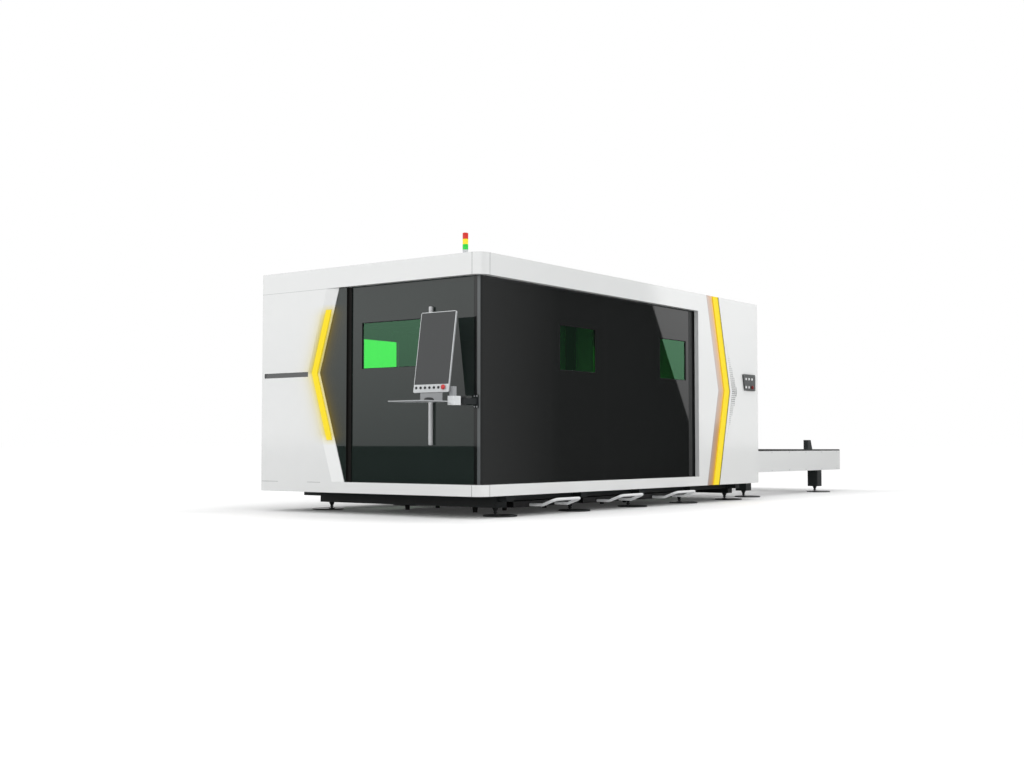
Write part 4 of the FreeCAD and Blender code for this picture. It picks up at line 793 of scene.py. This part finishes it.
def makeSlat(x, low, start, end):
    # the top edge falls to a valley and rises to a short flat tip again and again along the slat
    pitch = (end - start) / pallets["teeth"]
    tips = start + pitch * np.arange(pallets["teeth"] + 1)
    flat = pallets["tip"] / 2
    along = np.stack([tips - pitch * flat, tips + pitch * flat, tips + pitch / 2], -1).reshape(-1)[1:-2]
    along = np.concatenate([[start], along, [end]])
    cut = np.abs((along - start) / pitch - np.round((along - start) / pitch))
    top = low + pallets["rise"] - pallets["valley"] * np.clip((cut - flat) / (0.5 - flat), 0, 1)
    left, foot = np.full_like(along, x), np.full_like(along, low)
    right = left + pallets["thick"]
    corners = ((left, top), (right, top), (right, foot), (left, foot))
    return skin(np.stack([np.stack([side, along, height], -1) for side, height in corners], 1))


def makePallets():
    tube, (front, back) = pallets["tube"], pallets["outerY"]
    for name in ("upper_pallet", "lower_pallet"):
        start, low, axle = pallets[name]
        end = start + pallets["long"]
        tubes = (((start, front), (end, front + tube)), ((start, back - tube), (end, back)),
                 ((start, front + tube), (start + tube, back - tube)),
                 ((end - tube, front + tube), (end, back - tube)))
        parts = [slab((*first, low), (*last, low + tube), pallets["cut"]) for first, last in tubes]
        for number in range(1, pallets["slats"] + 1):
            parts.append(makeSlat(start + number * pallets["pitch"], low, front + tube, back - tube))
        parts += [spun(pallets["wheel"], (start + x, y, axle), direction, pallets["wheelSides"])
                  for x in pallets["wheelsX"] for y, direction in ((front, near), (back, far))]
        addPiece(name.replace("_p", "P"), parts, "palletSteel", name, [name])


def grid(first, second):
    return [(one, other) for one in first for other in second]


# screws: domed heads on the box, hexagonal ones on the console's bracket, round ones on the table's covers
screws = {"boxX": (4.727, 4.989), "boxZ": (1.227, 1.382), "boxY": -0.018, "bracketX": 0.048,
          "bracketY": (0.08, 0.106), "bracketZ": (0.9225, 1.0105), "coverX": (5.2, 8.2, 7),
          "coverZ": (0.3, 0.52), "coverY": 0.35, "wide": 2.6, "sides": 20, "hexSides": 6,
          "dome": ((0.0042, -0.0004), (0.0042, 0.0007), (0.0034, 0.0017), (0.0018, 0.002), (0.001, 0.0012)),
          "hex": ((0.0058, -0.0004), (0.0062, 0.0006), (0.0062, 0.0038), (0.0055, 0.0045), (0.003, 0.0046)),
          "round": ((0.0085, -0.0004), (0.0085, 0.001), (0.007, 0.0026), (0.004, 0.0032), (0.0028, 0.002))}


def makeScrews():
    parts = [spun(screws["dome"], (x, screws["boxY"], z), near, screws["sides"])
             for x, z in grid(screws["boxX"], screws["boxZ"])]
    parts += [spun(screws["hex"], (screws["bracketX"], y, z), (-1, 0, 0), screws["hexSides"])
              for y, z in grid(screws["bracketY"], screws["bracketZ"])]
    sides = ((screws["coverY"], near), (screws["wide"] - screws["coverY"], far))
    parts += [spun(screws["round"], (x, y, z), direction, screws["sides"])
              for x, z in grid(np.linspace(*screws["coverX"]), screws["coverZ"]) for y, direction in sides]
    addPiece("screws", parts, "screwMetal", "machine", [])


# screws that hold the roof and the end wall: rows along the edges and on both sides of the joints
plateScrews = {"roofZ": 2.196, "roofX": (0.5, 4.98, 12), "roofY": (0.095, 1.265, 1.335, 2.505),
               "jointX": (1.28, 2.5, 3.72), "aside": 0.035, "jointY": (0.35, 2.25, 6),
               "wallX": 5.1, "wallY": (0.075, 2.525), "wallZ": (0.3, 2.05, 8), "topZ": 2.14,
               "topY": (0.35, 2.25, 7), "underZ": 0.985, "underY": (0.45, 2.15, 7), "sheetY": (0.66, 1.94),
               "sheetZ": (1.1, 2.02, 5), "sides": 16,
               "head": ((0.0075, -0.0004), (0.0075, 0.0006), (0.0062, 0.0018), (0.0036, 0.0024),
                        (0.0024, 0.0016))}


def bothSides(places):
    return [place + side for place in places for side in (-plateScrews["aside"], plateScrews["aside"])]


def makePlateScrews():
    rows = {name: np.linspace(*plateScrews[name])
            for name in ("roofX", "jointY", "wallZ", "topY", "underY", "sheetZ")}
    roof = grid(rows["roofX"], plateScrews["roofY"]) + grid(bothSides(plateScrews["jointX"]), rows["jointY"])
    wall = grid(plateScrews["wallY"], rows["wallZ"]) + grid(rows["topY"], [plateScrews["topZ"]])
    wall += grid(rows["underY"], [plateScrews["underZ"]])
    wall += grid(bothSides(plateScrews["sheetY"]), rows["sheetZ"])
    head, sides = plateScrews["head"], plateScrews["sides"]
    parts = [spun(head, (x, y, plateScrews["roofZ"]), up, sides) for x, y in roof]
    parts += [spun(head, (plateScrews["wallX"], y, z), (1, 0, 0), sides) for y, z in wall]
    addPiece("plateScrews", parts, "screwMetal", "machine", [])


makeFeet()
makeTower()
makeConsoleKeys()
makeBoxKeys()
makeHandle()
makeMouse()
makeGaskets()
makePallets()
makeScrews()
makePlateScrews()
print("pieces made")

# stage: floor, white surround, soft lamps and a dark curtain that only reflections see
stage = {"floorSize": 1600.0, "floorColour": (0.9, 0.9, 0.9), "floorPatches": (0.004, 0.6),
         "floorLift": 0.2, "baseLift": 0.035, "liftTurn": (0.05, 1.1), "floorInMirror": 0.03,
         "footprint": ((-0.3, 8.3), (0.0, 2.6)), "worldStrength": 0.86, "reflectionLow": 0.62,
         "reflectionRise": 0.1}


def addSheet(name, corners, material):
    mesh = bpy.data.meshes.new(name)
    mesh.from_pydata(corners, [], [(0, 1, 2, 3)])
    mesh.materials.append(material)
    return addObject(name, mesh)


def makeFloorMaterial():
    # white for the camera: the lift grows with the distance from the footprint, and mirrors see a dark floor
    recipe = Recipe("floorPaint")
    away = []
    for place, (low, high) in zip(recipe.corner(), stage["footprint"]):
        off = recipe.math("ABSOLUTE", recipe.minus(place, (low + high) / 2))
        away.append(recipe.minus(off, (high - low) / 2))
    reach = recipe.ramp(recipe.math("MAXIMUM", *away), *stage["liftTurn"])
    rise = recipe.plus(recipe.times(reach, stage["floorLift"]), stage["baseLift"])
    recipe.shade(Base_Color=toned(recipe, stage["floorColour"], stage["floorPatches"]), Roughness=1.0,
                 Specular_IOR_Level=0.0)
    path = recipe.add("ShaderNodeLightPath").outputs
    lift = recipe.add("ShaderNodeEmission")
    recipe.wire(recipe.times(rise, path["Is Camera Ray"]), lift.inputs["Strength"])
    lit = recipe.add("ShaderNodeAddShader", recipe.shader.outputs[0], lift.outputs[0])
    dark = recipe.add("ShaderNodeEmission", solid([stage["floorInMirror"]] * 3))
    mirrored = recipe.add("ShaderNodeMixShader", path["Is Glossy Ray"], lit.outputs[0], dark.outputs[0])
    return recipe.surface(mirrored)


def makeFloor():
    half = stage["floorSize"] / 2
    corners = [(-half, -half, 0), (half, -half, 0), (half, half, 0), (-half, half, 0)]
    addSheet("floor", corners, makeFloorMaterial())


def makeWorld():
    # white for the camera and behind the panes, dimmer for mirrors near the horizon, even for the rest
    recipe = Recipe("surround", bpy.data.worlds, "Background")
    bpy.context.scene.world = recipe.owner
    path = recipe.add("ShaderNodeLightPath").outputs
    height = recipe.add("ShaderNodeSeparateXYZ", recipe.place.node.outputs["Generated"]).outputs[2]
    rise = recipe.ramp(height, 0.0, stage["reflectionRise"], stage["reflectionLow"], 1.0)
    seen = recipe.math("MAXIMUM", path["Is Camera Ray"], path["Is Transmission Ray"])
    mirrored = recipe.blend(path["Is Glossy Ray"], stage["worldStrength"], rise, "FLOAT")
    recipe.shade(Color=(1, 1, 1, 1), Strength=recipe.blend(seen, mirrored, 1.0, "FLOAT"))


# the curtain stands off the near long side, and its slanted edge leaves the far end bright
curtain = {"y": -5.0, "left": -3.0, "topRight": 8.39, "lowRight": 13.5, "top": 8.0,
           "nearTone": 0.34, "middleTone": 0.085, "farTone": 0.035, "turns": (6.3, 8.6, 13.0)}


def makeCurtain():
    recipe = Recipe("curtainCloth")
    x = recipe.corner()[0]
    start, turn, end = curtain["turns"]
    tones = [solid([curtain[name]] * 3) for name in ("nearTone", "middleTone", "farTone")]
    tone = recipe.blend(recipe.ramp(x, start, turn), tones[0], tones[1])
    light = recipe.add("ShaderNodeEmission", recipe.blend(recipe.ramp(x, turn, end), tone, tones[2]))
    left, right, topRight, top = (curtain[name] for name in ("left", "lowRight", "topRight", "top"))
    corners = [at(side, curtain["y"], z) for side, z in ((left, 0), (right, 0), (topRight, top), (left, top))]
    cloth = addSheet("curtain", corners, recipe.surface(light))
    cloth.visible_camera = False
    cloth.visible_diffuse = False
    cloth.visible_shadow = False
    cloth.visible_transmission = False


lamps = {
    "overhead": {"place": (2.0, -1.0, 7.5), "aim": (2.5, 1.3, 0.0), "size": 7.0, "power": 160.0},
    "frontFill": {"place": (-7.0, 3.0, 4.5), "aim": (0.0, 1.3, 1.0), "size": 5.0, "power": 120.0},
    "sideFill": {"place": (3.2, -8.5, 4.5), "aim": (3.2, 0.0, 0.8), "size": 6.0, "power": 130.0},
    "cabin": {"place": (2.2, 1.3, 2.05), "aim": (2.2, 1.3, 0.0), "size": 1.4, "power": 5.0},
}


def makeLamps():
    for name, look in lamps.items():
        light = bpy.data.lights.new(name, "AREA")
        light.shape = "SQUARE"
        light.size = look["size"]
        light.energy = look["power"]
        lamp = addObject(name, light)
        lamp.location = at(*look["place"])
        lamp.rotation_euler = (at(*look["aim"]) - lamp.location).to_track_quat("-Z", "Y").to_euler()
        lamp.visible_glossy = False


# the camera stands low in front of the near corner
view = {"x": -8.2933, "y": -6.4586, "z": 0.6055, "yaw": 36.538, "pitch": 2.7225,
        "focal": 1290.19, "imageWide": 1024, "sensor": 36.0, "farthest": 2000}


def makeCamera():
    data = bpy.data.cameras.new("camera")
    data.sensor_width = view["sensor"]
    data.lens = view["focal"] * view["sensor"] / view["imageWide"]
    data.clip_end = view["farthest"]
    camera = addObject("camera", data)
    camera.location = at(view["x"], view["y"], view["z"])
    yaw, pitch = math.radians(view["yaw"]), math.radians(view["pitch"])
    ahead = Vector((math.cos(yaw) * math.cos(pitch), math.sin(yaw) * math.cos(pitch), math.sin(pitch)))
    camera.rotation_euler = ahead.to_track_quat("-Z", "Y").to_euler()
    bpy.context.scene.camera = camera


makeFloor()
makeWorld()
makeCurtain()
makeLamps()
makeCamera()
bpy.context.scene.view_settings.view_transform = "Standard"
print("stage ready")
